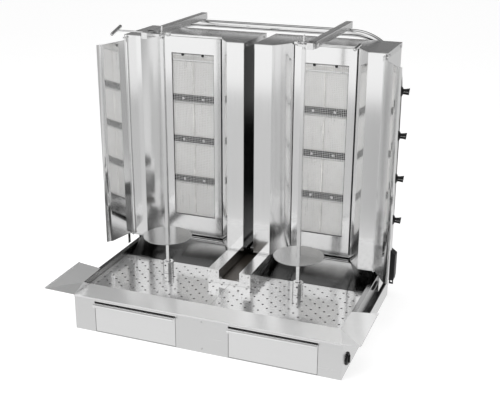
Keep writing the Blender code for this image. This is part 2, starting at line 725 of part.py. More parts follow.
def top_cover(side, steel):
    """Lid of a housing, with side flanges and the same W-shaped front."""
    wall = HOUSING_HALF + 0.95
    level = HOUSING_TOP + 0.6
    path = [(housing_x(side, u), z) for u, z in ((-wall, 981), (-wall, level), (wall, level), (wall, 981))]
    lid = prism(fold(path, THIN_SHEET), "Y", depth(HOUSING_FRONT - 1.0), depth(HOUSING_REAR + 0.5))
    ahead = HOUSING_FRONT - 20
    recess = [(-REFLECTOR_OUTER, ahead)] + front_line(-1.0) + [(REFLECTOR_OUTER, ahead)]
    lid = cut(lid, prism(in_plan(side, recess), "Z", 990, 1010))
    part(f"top_cover_{SIDES[side]}", lid, steel)


def burner_frame(side, steel):
    """Flat plate round the mesh window."""
    back = (529.0, 530.5)
    across = (housing_x(side, -FRAME_HALF_WIDTH), housing_x(side, FRAME_HALF_WIDTH))
    plate = block(across, back, (HOUSING_BOTTOM + 2.6, 992.0))
    opening = (housing_x(side, -MESH_HALF_WIDTH), housing_x(side, MESH_HALF_WIDTH))
    window = block(opening, (520, 540), (MESH_BOTTOM, MESH_TOP))
    part(f"burner_frame_{SIDES[side]}", cut(plate, window), steel)


def wire_guard(side, wire):
    """Guard in front of the burners, simplified to a coarse grid of flat bars."""
    half = 98.0
    low = MESH_BOTTOM - 9
    high = MESH_TOP + 9
    plate = block((housing_x(side, -half), housing_x(side, half)), (531.0, 533.2), (low, high))
    columns = 4
    rows = 9
    bar = 3.0
    cell_x = (2 * half - 12 - bar * (columns - 1)) / columns
    cell_z = (high - low - 12 - bar * (rows - 1)) / rows
    tools = []
    for column in range(columns):
        u = -half + 6 + column * (cell_x + bar)
        for row in range(rows):
            z = low + 6 + row * (cell_z + bar)
            across = (housing_x(side, u), housing_x(side, u + cell_x))
            tools.append(block(across, (525, 540), (z, z + cell_z)))
    part(f"wire_guard_{SIDES[side]}", cut(plate, combine(tools)), wire)


def burner(side, index, ceramic):
    """Infrared burner: plaque slab, plenum and the mixing tube towards the gas valve."""
    z = BURNER_FIRST + index * BURNER_PITCH
    height = (z - PLAQUE_HALF_HEIGHT, z + PLAQUE_HALF_HEIGHT)
    slab = block((housing_x(side, -92), housing_x(side, 92)), (535.7, 549), height)
    plenum = block((housing_x(side, -96), housing_x(side, 96)), (548, 576), (z - 70, z + 70))
    tube = moved(rod(14, 0, 205, 14, outward(side)), place(housing_x(side, -60), 586, z))
    part(f"burner_{SIDES[side]}_{index + 1}", join(slab, plenum, tube), ceramic)


def gas_manifold(side, grey):
    """Gas pipe of a housing with one valve and stem for each burner."""
    u = 205.0
    x = housing_x(side, u)
    valve = 13.0
    across = (housing_x(side, u - valve), housing_x(side, u + valve + 1))
    length = HOUSING_HALF + 3.4 - u
    pipe = moved(rod(9, 296, 850, 14), place(x, KNOB_DEPTH, 0))
    for i in range(BURNER_COUNT):
        z = KNOB_FIRST + i * KNOB_PITCH
        body = block(across, (KNOB_DEPTH - valve, KNOB_DEPTH + valve), (z - valve, z + valve))
        stem = moved(rod(4, 0, length, 12, outward(side)), place(x, KNOB_DEPTH, z))
        pipe = join(pipe, body, stem)
    part(f"gas_manifold_{SIDES[side]}", pipe, grey)


def gas_knob(side, index, plastic):
    """Burner knob: a skirt that hides the valve stem and a narrow grip."""
    z = KNOB_FIRST + index * KNOB_PITCH
    base = 1.0
    skirt = KNOB_SKIRT
    profile = [(0, base + 3.2), (11, base + 3.2), (11, base), (skirt, base), (skirt, base + 3),
               (12.5, base + 9), (11, base + 41), (9.5, base + 43), (0, base + 43)]
    body = turned(profile, 16, outward(side))
    for sign in (-1, 1):
        low, high = sorted((sign * 5.0, sign * 20.0))
        outline = [(-20, low), (20, low), (20, high), (-20, high)]
        flank = prism(outline, "X", side * (base + 14), side * (base + 60))
        body = cut(body, flank)
    pivot = place(housing_x(side, HOUSING_HALF), KNOB_DEPTH, z)
    part(f"gas_knob_{SIDES[side]}_{index + 1}", moved(body, pivot), plastic, pivot=pivot, smooth=True)


def side_door(side, polished):
    """Heat-shield door hinged on the outer front corner of a housing."""
    pin_x = housing_x(side, DOOR_HINGE[0])
    pivot = place(pin_x, DOOR_HINGE[1], (DOOR_BOTTOM + DOOR_TOP) / 2)
    bend = math.radians(DOOR_RIM_BEND)
    rim = (side * DOOR_RIM * math.sin(bend), -DOOR_WIDTH - DOOR_RIM * math.cos(bend))
    path = [(0.0, -1.0), (0.0, -DOOR_WIDTH), rim]
    panel = prism(fold(path, SHEET), "Z", DOOR_BOTTOM, DOOR_TOP)
    pin = rod(3.0, DOOR_BOTTOM - 12, DOOR_TOP + 14, 12)
    door = moved(join(panel, pin), place(pin_x, DOOR_HINGE[1], 0))
    part(f"side_door_{SIDES[side]}", door, polished, pivot=pivot, turn=math.radians(side * DOOR_REST[side]))


# ---- motor switch --------------------------------------------------------------------
def motor_switch(plastic):
    """Round motor switch low on the right side of the base: fixed bezel, turning knob."""
    face = BASE_WIDTH / 2 + GAP
    centre = Vector((0, depth(63) * MM, 49 * MM))
    ring = [(0, face), (23, face), (23, face + 3), (20, face + 6), (15.6, face + 6),
            (15.6, face + 2), (0, face + 2)]
    part("switch_bezel", moved(turned(ring, 28, "X"), centre), plastic, smooth=True)
    knob = [(0, face + 2.4), (15, face + 2.4), (15, face + 4.4), (0, face + 4.4)]
    grip = prism([(-4, -13), (4, -13), (4, 13), (-4, 13)], "X", face + 3.4, face + 11)
    body = moved(join(turned(knob, 24, "X"), grip), centre)
    part("switch_knob", body, plastic, pivot=centre + Vector((face * MM, 0, 0)), smooth=True)


def build():
    """Clear the scene and make every part."""
    for item in list(bpy.data.objects):
        bpy.data.objects.remove(item)
    steel = finish("brushed_steel")
    polished = finish("polished_steel")
    dark = finish("dark_steel")
    grey = finish("cast_grey")
    ceramic = finish("ceramic")
    plastic = finish("black_plastic")
    wire = finish("wire")

    base_shell(steel)
    front_fascia(steel)
    front_lip(steel)
    rear_apron(polished)
    centre_guide(steel)
    frame_hoop(polished)
    motor_switch(plastic)
    for side in SIDES:
        tray(side, polished)
        side_rail(side, steel)
        fat_drawer(side, steel)
        gear_motor(side, grey)
        drive_socket(side, polished)
        spit(side, steel)
        meat_disc(side, polished)
        leg_bracket(side, dark)
        top_arm(side, steel)
        slider_bar(side, steel)
        t_handle(side, steel)
        casing(side, steel)
        reflector_panel(side, steel)
        top_cover(side, steel)
        burner_frame(side, steel)
        wire_guard(side, wire)
        gas_manifold(side, grey)
        side_door(side, polished)
        for index in range(BURNER_COUNT):
            burner(side, index, ceramic)
            gas_knob(side, index, plastic)


build()
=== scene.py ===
"""Looks of the twin vertical rotisserie broiler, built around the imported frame.

All lengths are metres in the frame's own axes: +Z up, -Y towards the cook, +X right.
Most CAD nodes keep their shape and get rounded edges and a finish.  Round, woven,
perforated and screwed-on things are modelled here, in places read from the CAD nodes.
"""
import json
import math

import bmesh
import bpy
from mathutils import Matrix, Vector


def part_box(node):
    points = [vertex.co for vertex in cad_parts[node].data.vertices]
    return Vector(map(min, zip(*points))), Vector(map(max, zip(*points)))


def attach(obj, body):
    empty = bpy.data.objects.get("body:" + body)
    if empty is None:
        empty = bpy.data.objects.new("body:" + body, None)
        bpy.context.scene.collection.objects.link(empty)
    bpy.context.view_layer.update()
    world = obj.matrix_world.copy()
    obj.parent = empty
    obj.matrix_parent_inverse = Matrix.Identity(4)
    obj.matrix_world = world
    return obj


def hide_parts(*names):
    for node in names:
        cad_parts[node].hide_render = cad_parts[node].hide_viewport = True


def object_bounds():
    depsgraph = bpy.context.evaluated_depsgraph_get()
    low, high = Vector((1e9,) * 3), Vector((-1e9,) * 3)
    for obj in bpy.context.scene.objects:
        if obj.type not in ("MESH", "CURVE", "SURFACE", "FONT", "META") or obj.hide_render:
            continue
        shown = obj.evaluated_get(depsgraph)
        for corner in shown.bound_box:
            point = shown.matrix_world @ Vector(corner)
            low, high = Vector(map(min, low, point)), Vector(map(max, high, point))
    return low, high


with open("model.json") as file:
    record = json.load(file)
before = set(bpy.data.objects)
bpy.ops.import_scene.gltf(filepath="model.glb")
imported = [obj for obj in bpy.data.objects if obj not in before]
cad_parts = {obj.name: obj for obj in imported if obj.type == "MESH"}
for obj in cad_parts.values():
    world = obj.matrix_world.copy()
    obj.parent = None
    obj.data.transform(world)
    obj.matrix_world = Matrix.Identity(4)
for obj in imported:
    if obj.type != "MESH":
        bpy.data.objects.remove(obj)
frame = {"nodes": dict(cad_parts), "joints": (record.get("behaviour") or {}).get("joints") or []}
cad_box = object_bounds()
nodes = frame["nodes"]
joints = {joint["name"]: joint for joint in frame["joints"]}

MM = 0.001
SIDES = {-1: "left", 1: "right"}
BURNERS = 4
X_AXIS = Vector((1, 0, 0))
Y_AXIS = Vector((0, 1, 0))
Z_AXIS = Vector((0, 0, 1))


GRAIN_STRETCH = 0.012   # noise scale along a brushed line, against 1 across it
BUMP_HEIGHT = 0.0003
# Painted shade: the tone of faces that look down is multiplied by this
UNDERSIDE_SHADE_LEVEL = 0.3
# Tone at the bottom of a darkening band, where a sheet is darker towards its bottom
DARKENING_LEVEL = 0.10


# ---- node graphs ---------------------------------------------------------------------
class Graph:
    """Adds and links the shader nodes of one material or world."""

    def __init__(self, tree):
        self.tree = tree

    def feed(self, socket, value):
        if isinstance(value, bpy.types.NodeSocket):
            self.tree.links.new(value, socket)
        else:
            socket.default_value = value

    def node(self, kind, inputs=None, **settings):
        made = self.tree.nodes.new(kind)
        for key, value in settings.items():
            setattr(made, key, value)
        for key, value in (inputs or {}).items():
            self.feed(made.inputs[key], value)
        return made

    def math(self, operation, first, second=0.0, clamp=False):
        made = self.node("ShaderNodeMath", {0: first, 1: second}, operation=operation, use_clamp=clamp)
        return made.outputs[0]

    def around_zero(self, value, size):
        """A 0 to 1 value turned into a swing of the given size about zero."""
        return self.math("MULTIPLY", self.math("SUBTRACT", value, 0.5), size)

    def smooth(self, value, start, end, low=0.0, high=1.0):
        """Goes smoothly from low to high as the value goes from start to end."""
        made = self.node("ShaderNodeMapRange", {
            "Value": value, "From Min": start, "From Max": end, "To Min": low, "To Max": high,
        }, interpolation_type="SMOOTHSTEP")
        return made.outputs["Result"]

    def mix(self, factor, first, second, blend="MIX"):
        """Mixes two colours."""
        made = self.node("ShaderNodeMix", data_type="RGBA", blend_type=blend)
        colours = [socket for socket in made.inputs if socket.type == "RGBA"]
        share = [socket for socket in made.inputs if socket.type == "VALUE"][0]
        self.feed(share, factor)
        self.feed(colours[0], first)
        self.feed(colours[1], second)
        return [socket for socket in made.outputs if socket.type == "RGBA"][0]

    def blend(self, factor, first, second):
        """Mixes two numbers."""
        return self.node("ShaderNodeMix", {"Factor": factor, "A": first, "B": second}).outputs["Result"]

    def grey(self, value):
        """A neutral colour of a computed brightness."""
        made = self.node("ShaderNodeCombineColor", {"Red": value, "Green": value, "Blue": value})
        return made.outputs["Color"]

    def ramp(self, factor, stops):
        """A colour ramp; each stop is a position with a grey level or a colour."""
        made = self.node("ShaderNodeValToRGB", {"Fac": factor})
        elements = made.color_ramp.elements
        while len(elements) < len(stops):
            elements.new(0.5)
        for element, (position, level) in zip(elements, stops):
            element.position = position
            element.color = (level, level, level, 1.0) if isinstance(level, float) else (*level, 1.0)
        return made.outputs["Color"]

    def place(self, stretch=(1, 1, 1)):
        """Coordinates on the piece itself, scaled along each axis."""
        coordinates = self.node("ShaderNodeTexCoord").outputs["Object"]
        return self.node("ShaderNodeMapping", {"Vector": coordinates, "Scale": stretch}).outputs["Vector"]

    def noise(self, scale, stretch=(1, 1, 1), detail=3.0, roughness=0.5):
        made = self.node("ShaderNodeTexNoise", {
            "Vector": self.place(stretch), "Scale": scale, "Detail": detail, "Roughness": roughness})
        return made.outputs["Fac"]

    def bump(self, height, strength, distance):
        made = self.node("ShaderNodeBump", {"Strength": strength, "Distance": distance, "Height": height})
        return made.outputs["Normal"]


def material(name):
    """A new material: its graph and its Principled shader."""
    made = bpy.data.materials.new(name)
    made.use_nodes = True
    return made, Graph(made.node_tree), made.node_tree.nodes["Principled BSDF"]


def sheet(name, tone, rough, grain, streak=0.05, cloud=0.04, bump=0.02, metal=1.0, underside_shade=False,
          darkening=None):
    """Stainless sheet with brushed lines along one axis.

    Streak and cloud are the swings in tone of its lines and its patches.  Faces that look down
    can get painted shade.  A darkening is a pair of heights: darker below the first, full tone above the
    second.
    """
    made, graph, shader = material(name)
    stretch = tuple(GRAIN_STRETCH if axis == grain else 1.0 for axis in "XYZ")
    lines = graph.noise(260.0, stretch, detail=5.0, roughness=0.6)
    patches = graph.noise(6.0, detail=4.0, roughness=0.6)
    change = graph.math("ADD", graph.around_zero(lines, streak), graph.around_zero(patches, cloud))
    shade = graph.math("MULTIPLY", graph.math("ADD", 1.0, change), tone)
    # Painted shade: faces that look down are darkened
    if underside_shade:
        facing = graph.node("ShaderNodeNewGeometry").outputs["True Normal"]
        height = graph.node("ShaderNodeSeparateXYZ", {"Vector": facing}).outputs["Z"]
        shade = graph.math("MULTIPLY", shade, graph.smooth(height, -0.9, -0.6, UNDERSIDE_SHADE_LEVEL, 1.0))
    # Darker towards the bottom, below a height with a wandering edge
    if darkening:
        place = graph.node("ShaderNodeTexCoord").outputs["Object"]
        height = graph.node("ShaderNodeSeparateXYZ", {"Vector": place}).outputs["Z"]
        wander = graph.math("ADD", height, graph.around_zero(patches, 0.02))
        shade = graph.math("MULTIPLY", shade, graph.smooth(wander, *darkening, DARKENING_LEVEL, 1.0))
    graph.feed(shader.inputs["Base Color"], graph.grey(shade))
    level = graph.math("ADD", rough, graph.math("MULTIPLY", change, 1.2), clamp=True)
    graph.feed(shader.inputs["Roughness"], level)
    shader.inputs["Metallic"].default_value = metal
    if bump:
        graph.feed(shader.inputs["Normal"], graph.bump(lines, bump, BUMP_HEIGHT))
    return made


def solid(name, colour, rough, metallic=0.0, grit=0.12, scale=400.0, bump=0.1):
    """A moulded, painted or cast surface with a fine irregular grit."""
    made, graph, shader = material(name)
    grain = graph.noise(scale, detail=4.0)
    patches = graph.noise(20.0, detail=3.0)
    darker = tuple(channel * 0.8 for channel in colour)
    lighter = tuple(min(1.0, channel * 1.2) for channel in colour)
    graph.feed(shader.inputs["Base Color"], graph.ramp(patches, [(0.3, darker), (0.7, lighter)]))
    level = graph.math("ADD", rough, graph.around_zero(grain, grit), clamp=True)
    graph.feed(shader.inputs["Roughness"], level)
    shader.inputs["Metallic"].default_value = metallic
    if bump:
        graph.feed(shader.inputs["Normal"], graph.bump(grain, bump, BUMP_HEIGHT))
    return made


def ceramic_plaque():
    """Pale porous ceramic, stained a little by heat."""
    made, graph, shader = material("ceramic_plaque")
    darkening = graph.noise(14.0, detail=5.0, roughness=0.65)
    pores = graph.noise(900.0, detail=2.0)
    tint = graph.ramp(darkening, [(0.30, (0.88, 0.875, 0.86)), (0.70, (0.98, 0.975, 0.96))])
    shade = graph.math("ADD", 1.0, graph.around_zero(pores, 0.2))
    graph.feed(shader.inputs["Base Color"], graph.mix(1.0, tint, graph.grey(shade), "MULTIPLY"))
    shader.inputs["Roughness"].default_value = 0.9
    graph.feed(shader.inputs["Normal"], graph.bump(pores, 0.3, 0.0004))
    return made


FINISH = {
    # The panel finish darkens faces that look down with painted shade
    "panel": sheet("steel_panel", 0.88, 0.12, "Z", underside_shade=True),
    "base_x": sheet("steel_base_x", 0.84, 0.26, "X"),
    "drawer": sheet("steel_drawer", 0.95, 0.24, "X"),
    "base_y": sheet("steel_base_y", 0.84, 0.26, "Y"),
    "mirror": sheet("steel_mirror", 0.88, 0.06, "Z", streak=0.015, cloud=0.02, bump=0.0),
    "tray": sheet("steel_tray", 0.84, 0.14, "Y", streak=0.06, cloud=0.05, bump=0.0, metal=0.8),
    "lip": sheet("steel_lip", 0.92, 0.20, "X", streak=0.10, metal=0.6),
    # The apron is darker towards its bottom
    "apron": sheet("steel_apron", 0.80, 0.14, "X", streak=0.08, bump=0.01, darkening=(0.152, 0.186)),
    "rail": sheet("steel_rail", 0.42, 0.22, "Y"),
    "disc": sheet("steel_disc", 0.66, 0.20, "X", streak=0.04, cloud=0.03, bump=0.0),
    "chrome": sheet("chrome", 0.88, 0.05, "Z", streak=0.01, cloud=0.01, bump=0.0),
    "bar": sheet("steel_bar", 0.80, 0.18, "Z", streak=0.04, bump=0.01),
    "stained": sheet("steel_heat_stained", 0.11, 0.42, "X", streak=0.3, cloud=0.4),
    "wire": sheet("guard_wire", 0.95, 0.30, "Z", streak=0.1, cloud=0.1, bump=0.0, metal=0.6),
    "dark": solid("dark_painted_steel_and_shade", (0.030, 0.030, 0.032), 0.42, metallic=0.2),
    "cast": solid("cast_grey_metal", (0.20, 0.20, 0.21), 0.5, metallic=0.8, bump=0.3),
    # Burnt-on fat, also used as painted shade on floors inside the base and the guide
    "baked_fat_and_shade": solid("baked_fat_and_shade", (0.060, 0.052, 0.044), 0.30, metallic=0.4, scale=120.0, bump=0.3),
    "black": solid("black_moulding", (0.010, 0.010, 0.011), 0.32, bump=0.06),
    "mark": solid("pale_marking_and_highlight", (0.70, 0.70, 0.70), 0.5),
    "ceramic": ceramic_plaque(),
    "rope": solid("fibre_gasket", (0.82, 0.81, 0.79), 0.95, grit=0.05, scale=1500.0, bump=0.6),
    "burner": solid("burner_casing", (0.30, 0.30, 0.31), 0.5, metallic=0.9),
}


# ---- shapes --------------------------------------------------------------------------
def low(node):
    """Lowest corner of a CAD node."""
    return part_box(node)[0]


def high(node):
    """Highest corner of a CAD node."""
    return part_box(node)[1]


def middle(node):
    """Centre of a CAD node's box."""
    return (low(node) + high(node)) / 2


def frame_of(axis, origin):
    """A matrix that turns +Z onto an axis and moves the origin to a place."""
    return Matrix.Translation(origin) @ Vector(axis).to_track_quat("Z", "Y").to_matrix().to_4x4()


def slab(first, second):
    """A box between two corners."""
    bm = bmesh.new()
    bmesh.ops.create_cube(bm, size=1.0)
    size = Vector(second) - Vector(first)
    centre = (Vector(first) + Vector(second)) / 2
    bm.transform(Matrix.Translation(centre) @ Matrix.Diagonal((*[abs(part) for part in size], 1.0)))
    return bm


def turned(profile, segments, origin, axis=Z_AXIS, closed=False):
    """Turns (radius, height) pairs, in millimetres, about an axis through the origin.

    A closed profile is a ring's section; an open one starts and ends on the axis.
    """
    bm = bmesh.new()
    rings = []
    for radius, height in profile:
        if radius == 0:
            rings.append([bm.verts.new((0, 0, height * MM))])
            continue
        ring = []
        for i in range(segments):
            angle = 2 * math.pi * i / segments
            x = radius * MM * math.cos(angle)
            y = radius * MM * math.sin(angle)
            ring.append(bm.verts.new((x, y, height * MM)))
        rings.append(ring)
    pairs = list(zip(rings, rings[1:]))
    if closed:
        pairs.append((rings[-1], rings[0]))
    for first, second in pairs:
        for i in range(segments):
            j = (i + 1) % segments
            near = [first[i % len(first)], first[j % len(first)]]
            far = [second[j % len(second)], second[i % len(second)]]
            bm.faces.new(list(dict.fromkeys(near + far)))
    bmesh.ops.recalc_face_normals(bm, faces=bm.faces)
    bm.transform(frame_of(axis, origin))
    return bm


def bolt_head(radius, height, segments, origin, axis, chamfer=0.8):
    """A short cylinder or, with six segments, a hexagon with a chamfered face."""
    profile = [(0, 0), (radius, 0), (radius, height - chamfer), (radius - chamfer, height), (0, height)]
    return turned(profile, segments, origin, axis)


def drill(radius, length, segments, origin, axis=Z_AXIS):
    """A plain cylinder to cut a hole with."""
    return turned([(0, 0), (radius, 0), (radius, length), (0, length)], segments, origin, axis)


def skinned(bm, rings):
    """Closes rings of equally many vertices into one skin with flat ends."""
    count = len(rings[0])
    for first, second in zip(rings, rings[1:]):
        for k in range(count):
            j = (k + 1) % count
            bm.faces.new((first[k], first[j], second[j], second[k]))
    bm.faces.new(rings[0][::-1])
    bm.faces.new(rings[-1])
    bmesh.ops.recalc_face_normals(bm, faces=bm.faces)
    return bm


def swept(path, radius, sides):
    """A round bar along a path of points, with flat ends."""
    bm = bmesh.new()
    rings = []
    up = None
    for i, point in enumerate(path):
        before = path[max(i - 1, 0)]
        after = path[min(i + 1, len(path) - 1)]
        along = (after - before).normalized()
        if up is None:
            up = along.orthogonal().normalized()
        up = (up - along * up.dot(along)).normalized()
        across = along.cross(up)
        ring = []
        for k in range(sides):
            angle = 2 * math.pi * k / sides
            ring.append(bm.verts.new(point + (up * math.cos(angle) + across * math.sin(angle)) * radius))
        rings.append(ring)
    return skinned(bm, rings)


def merged(shapes):
    """Several shapes as one mesh."""
    whole = bmesh.new()
    for shape in shapes:
        mesh = bpy.data.meshes.new("shape")
        shape.to_mesh(mesh)
        shape.free()
        whole.from_mesh(mesh)
        bpy.data.meshes.remove(mesh)
    return whole


def bare_object(name, bm):
    """An object with a shape and nothing else."""
    mesh = bpy.data.meshes.new(name)
    bm.to_mesh(mesh)
    bm.free()
    item = bpy.data.objects.new(name, mesh)
    bpy.context.scene.collection.objects.link(item)
    return item


def cut(shape, tool):
    """A shape with a tool's volume taken out of it."""
    body = bare_object("body", shape)
    cutter = bare_object("cutter", tool)
    modifier = body.modifiers.new("cut", "BOOLEAN")
    modifier.operation = "DIFFERENCE"
    modifier.solver = "EXACT"
    modifier.object = cutter
    evaluated = body.evaluated_get(bpy.context.evaluated_depsgraph_get())
    result = bmesh.new()
    result.from_mesh(evaluated.to_mesh())
    for item in (body, cutter):
        mesh = item.data
        bpy.data.objects.remove(item)
        bpy.data.meshes.remove(mesh)
    return result


def piece(name, bm, finish, body, replaces=(), bevel=0.0, angle=35):
    """Adds a piece: shading, optional rounded edges, its finish and the body it rides on."""
    item = bare_object(name, bm)
    item.data.shade_smooth()
    item.data.set_sharp_from_angle(angle=math.radians(angle))
    item.data.materials.append(FINISH[finish])
    if bevel:
        add_bevel(item, bevel)
    add_shading(item)
    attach(item, body)
    if replaces:
        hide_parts(*replaces)
    return item


def add_bevel(item, width):
    """Rounds an item's edges by a width in millimetres."""
    bevel = item.modifiers.new("edges", "BEVEL")
    bevel.width = width * MM
    bevel.segments = 2
    bevel.limit_method = "ANGLE"
    bevel.angle_limit = math.radians(40)


def add_shading(item):
    """Keeps an item's broad faces flat to the eye where they meet rounded edges."""
    shading = item.modifiers.new("shading", "WEIGHTED_NORMAL")
    shading.weight = 100
    shading.keep_sharp = True


# ---- CAD nodes that keep their shape -------------------------------------------------
FAT_AND_SHADE_LEVEL = 20 * MM      # burnt-on fat and painted shade lie below this height in the base and the drawers


def dress(node, finish, edge=0.4):
    """Gives a CAD node its finish, rounded edges and smooth shading across its facets."""
    item = nodes[node]
    item.data.materials.clear()
    item.data.materials.append(FINISH[finish])
    weld = item.modifiers.new("weld", "WELD")
    weld.merge_threshold = 0.00002
    if edge:
        add_bevel(item, edge)
    for polygon in item.data.polygons:
        polygon.use_smooth = True
    item.modifiers.new("shading", "WEIGHTED_NORMAL").weight = 100


def darken_floor(node, level):
    """Gives faces that look up from below a level a dark finish: burnt-on fat and painted shade."""
    item = nodes[node]
    item.data.materials.append(FINISH["baked_fat_and_shade"])
    for polygon in item.data.polygons:
        if polygon.normal.z > 0.9 and polygon.center.z < level:
            polygon.material_index = 1


def dress_cad():
    """Finishes for every CAD node that stays in view."""
    dress("base_shell", "base_y")
    dress("front_fascia", "base_x")
    dress("front_lip", "lip", edge=0.3)
    dress("rear_apron", "apron", edge=0)
    dress("centre_guide", "drawer")
    for word in SIDES.values():
        dress(f"side_rail_{word}", "rail")
        dress(f"fat_drawer_{word}", "drawer")
        dress(f"gear_motor_{word}", "cast", edge=1.5)
        dress(f"spit_{word}", "bar", edge=0.8)
        dress(f"leg_bracket_{word}", "dark", edge=1.0)
        dress(f"top_arm_{word}", "base_y", edge=1.2)
        dress(f"slider_bar_{word}", "base_y", edge=0.8)
        dress(f"housing_casing_{word}", "panel")
        dress(f"reflector_panel_{word}", "panel")
        dress(f"top_cover_{word}", "base_x", edge=0.5)
        dress(f"burner_frame_{word}", "panel")
        dress(f"gas_manifold_{word}", "cast")
        dress(f"side_door_{word}", "mirror", edge=0.5)
        for index in range(1, BURNERS + 1):
            dress(f"burner_{word}_{index}", "burner")
        # Burnt-on fat and painted shade on the floors of the drawers, the base and the guide's channel
        darken_floor(f"fat_drawer_{word}", FAT_AND_SHADE_LEVEL)
    darken_floor("base_shell", FAT_AND_SHADE_LEVEL)
    darken_floor("centre_guide", high("centre_guide").z - 10 * MM)


# ---- round parts that replace coarse CAD nodes ---------------------------------------
def disc(side):
    """Meat disc with a rolled edge and a hub below it."""
    word = SIDES[side]
    node = f"meat_disc_{word}"
    bottom, top = low(node), high(node)
    radius = (top.x - bottom.x) / 2 / MM
    height = (top.z - bottom.z) / MM
    plate = height - 3.0
    hub = 11.0
    bore = 6.3
    centre = Vector((middle(node).x, middle(node).y, bottom.z))
    profile = [(bore, 0), (hub - 0.6, 0), (hub, 0.6), (hub, plate)]
    profile += [(radius - 1.2, plate), (radius - 0.3, plate + 0.6), (radius, plate + 1.5)]
    profile += [(radius - 0.3, plate + 2.4), (radius - 1.2, height), (bore, height)]
    shape = turned(profile, 128, centre, closed=True)
    piece(node + "_turned", shape, "disc", f"spit_{word}", [node])


def weld_spots(side):
    """Four tack welds that hold the disc to the spit's flats."""
    word = SIDES[side]
    centre = middle(f"meat_disc_{word}")
    surface = high(f"meat_disc_{word}").z - 0.4 * MM
    reach = 9.6 * MM
    spots = []
    for i in range(4):
        angle = math.pi / 2 * i + math.pi / 4
        place = Vector((centre.x + reach * math.cos(angle), centre.y + reach * math.sin(angle), surface))
        spots.append(turned([(0, 0), (2.2, 0), (1.9, 0.9), (1.0, 1.6), (0, 1.8)], 14, place))
    piece(f"disc_welds_{word}", merged(spots), "bar", f"spit_{word}")


def socket(side):
    """Polished drive socket with a chamfered mouth, a groove low down and a set screw."""
    word = SIDES[side]
    node = f"drive_socket_{word}"
    bottom, top = low(node), high(node)
    radius = (top.x - bottom.x) / 2 / MM
    height = (top.z - bottom.z) / MM
    shaft = 8.0
    skirt = (high(f"drip_tray_{word}").z - bottom.z) / MM + 0.6
    groove = skirt + 9.0
    mouth = 9.4
    floor_height = height - 8.0
    centre = Vector((middle(node).x, middle(node).y, bottom.z))
    profile = [(0, 0), (shaft - 0.4, 0), (shaft, 0.4), (shaft, skirt)]
    profile += [(radius - 0.6, skirt), (radius, skirt + 0.6), (radius, groove)]
    profile += [(radius - 1.1, groove + 0.5), (radius - 1.1, groove + 1.5), (radius, groove + 2.0)]
    profile += [(radius, height - 2.0), (radius - 0.6, height - 0.6), (radius - 2.0, height)]
    profile += [(mouth + 1.1, height), (mouth, height - 1.2), (mouth, floor_height), (0, floor_height)]
    shape = turned(profile, 96, centre)
    piece(node + "_turned", shape, "chrome", f"spit_{word}", [node])
    bolt = Vector((centre.x + side * 3 * MM, centre.y - (radius - 0.2) * MM, top.z - 12 * MM))
    piece(f"socket_screw_{word}", screw_head(bolt, -Y_AXIS, 3.2), "dark", f"spit_{word}")


def hoop():
    """The bent tube of the frame, round and open at its feet."""
    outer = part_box("frame_hoop")
    radius = (outer[1].y - outer[0].y) / 2
    leg = outer[1].x - radius
    top = outer[1].z - radius
    back = middle("frame_hoop").y
    bend = 178 * MM
    steps = 24
    path = [Vector((-leg, back, outer[0].z))]
    for side in SIDES:
        for i in range(steps + 1):
            angle = math.pi / 2 * i / steps
            turn = angle if side < 0 else math.pi / 2 - angle
            x = side * (leg - bend + bend * math.cos(turn))
            path.append(Vector((x, back, top - bend + bend * math.sin(turn))))
    path.append(Vector((leg, back, outer[0].z)))
    piece("frame_hoop_bent", swept(path, radius, 40), "chrome", "base", ["frame_hoop"])


def t_handle(side):
    """Clamp screw with a shoulder, a round-ended crossbar and a few turns of thread in view."""
    word = SIDES[side]
    node = f"t_handle_{word}"
    joint = joints[f"clamp_{word}_turn"]
    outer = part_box(node)
    end = (outer[1].x if side > 0 else outer[0].x) - side * 5 * MM
    hub = Vector((end, joint["pos_m"][1], joint["pos_m"][2]))
    start = outer[0].x if side > 0 else outer[1].x
    length = abs(hub.x - start) / MM
    pitch = 1.5
    profile = [(0, 0)]
    for turn in range(12):
        profile += [(2.4, 0.2 + turn * pitch), (3.0, 0.95 + turn * pitch)]
    profile += [(2.9, 19), (2.9, length - 7), (4.6, length - 6), (4.6, length), (0, length)]
    screw = turned(profile, 28, Vector((start, hub.y, hub.z)), Vector((side, 0, 0)))
    piece(node + "_turned", merged([screw, crossbar(outer, hub)]), "bar", f"clamp_{word}", [node])


def crossbar(outer, hub):
    """A round-ended bar through the hub, tilted as the CAD handle's box shows."""
    lean = (outer[1].y - outer[0].y) / 2
    rise = (outer[1].z - outer[0].z) / 2
    angle = math.atan2(lean - 5 * MM * 0.28, rise - 5 * MM * 0.96)
    axis = Vector((0, math.sin(angle), math.cos(angle)))
    half = 37.5
    radius = 5.8
    end = [(0, half), (3.4, half - 0.5), (5.2, half - 2.2), (radius, half - 4.6)]
    profile = [(across, -along) for across, along in end] + end[::-1]
    return turned(profile, 28, hub, axis)


KNOB_GRIP_FOOT = 11
KNOB_GRIP_HALF = 4.8


def lever_grip(reach):
    """A knob's lever along +X, in millimetres: it flares towards its end, more above than below."""
    bm = bmesh.new()
    steps = [i / 12 for i in range(13)]
    above = [(KNOB_GRIP_FOOT + (reach - KNOB_GRIP_FOOT) * t, 9.0 + 5.0 * t * t) for t in steps]
    below = [(KNOB_GRIP_FOOT + (reach - KNOB_GRIP_FOOT - 3) * t, -9.0 - 2.0 * t * t) for t in steps]
    half = KNOB_GRIP_HALF
    rings = []
    for height, inset in ((-half, 1.4), (-half + 1.2, 0.2), (0, 0), (half - 1.2, 0.2), (half, 1.4)):
        fit = 1 - inset / 12
        ring = []
        for along, up in above + below[::-1]:
            if along >= KNOB_GRIP_FOOT + 1:
                along = KNOB_GRIP_FOOT + (along - KNOB_GRIP_FOOT) * fit
            ring.append(bm.verts.new((along, height, up * fit)))
        rings.append(ring)
    return skinned(bm, rings)


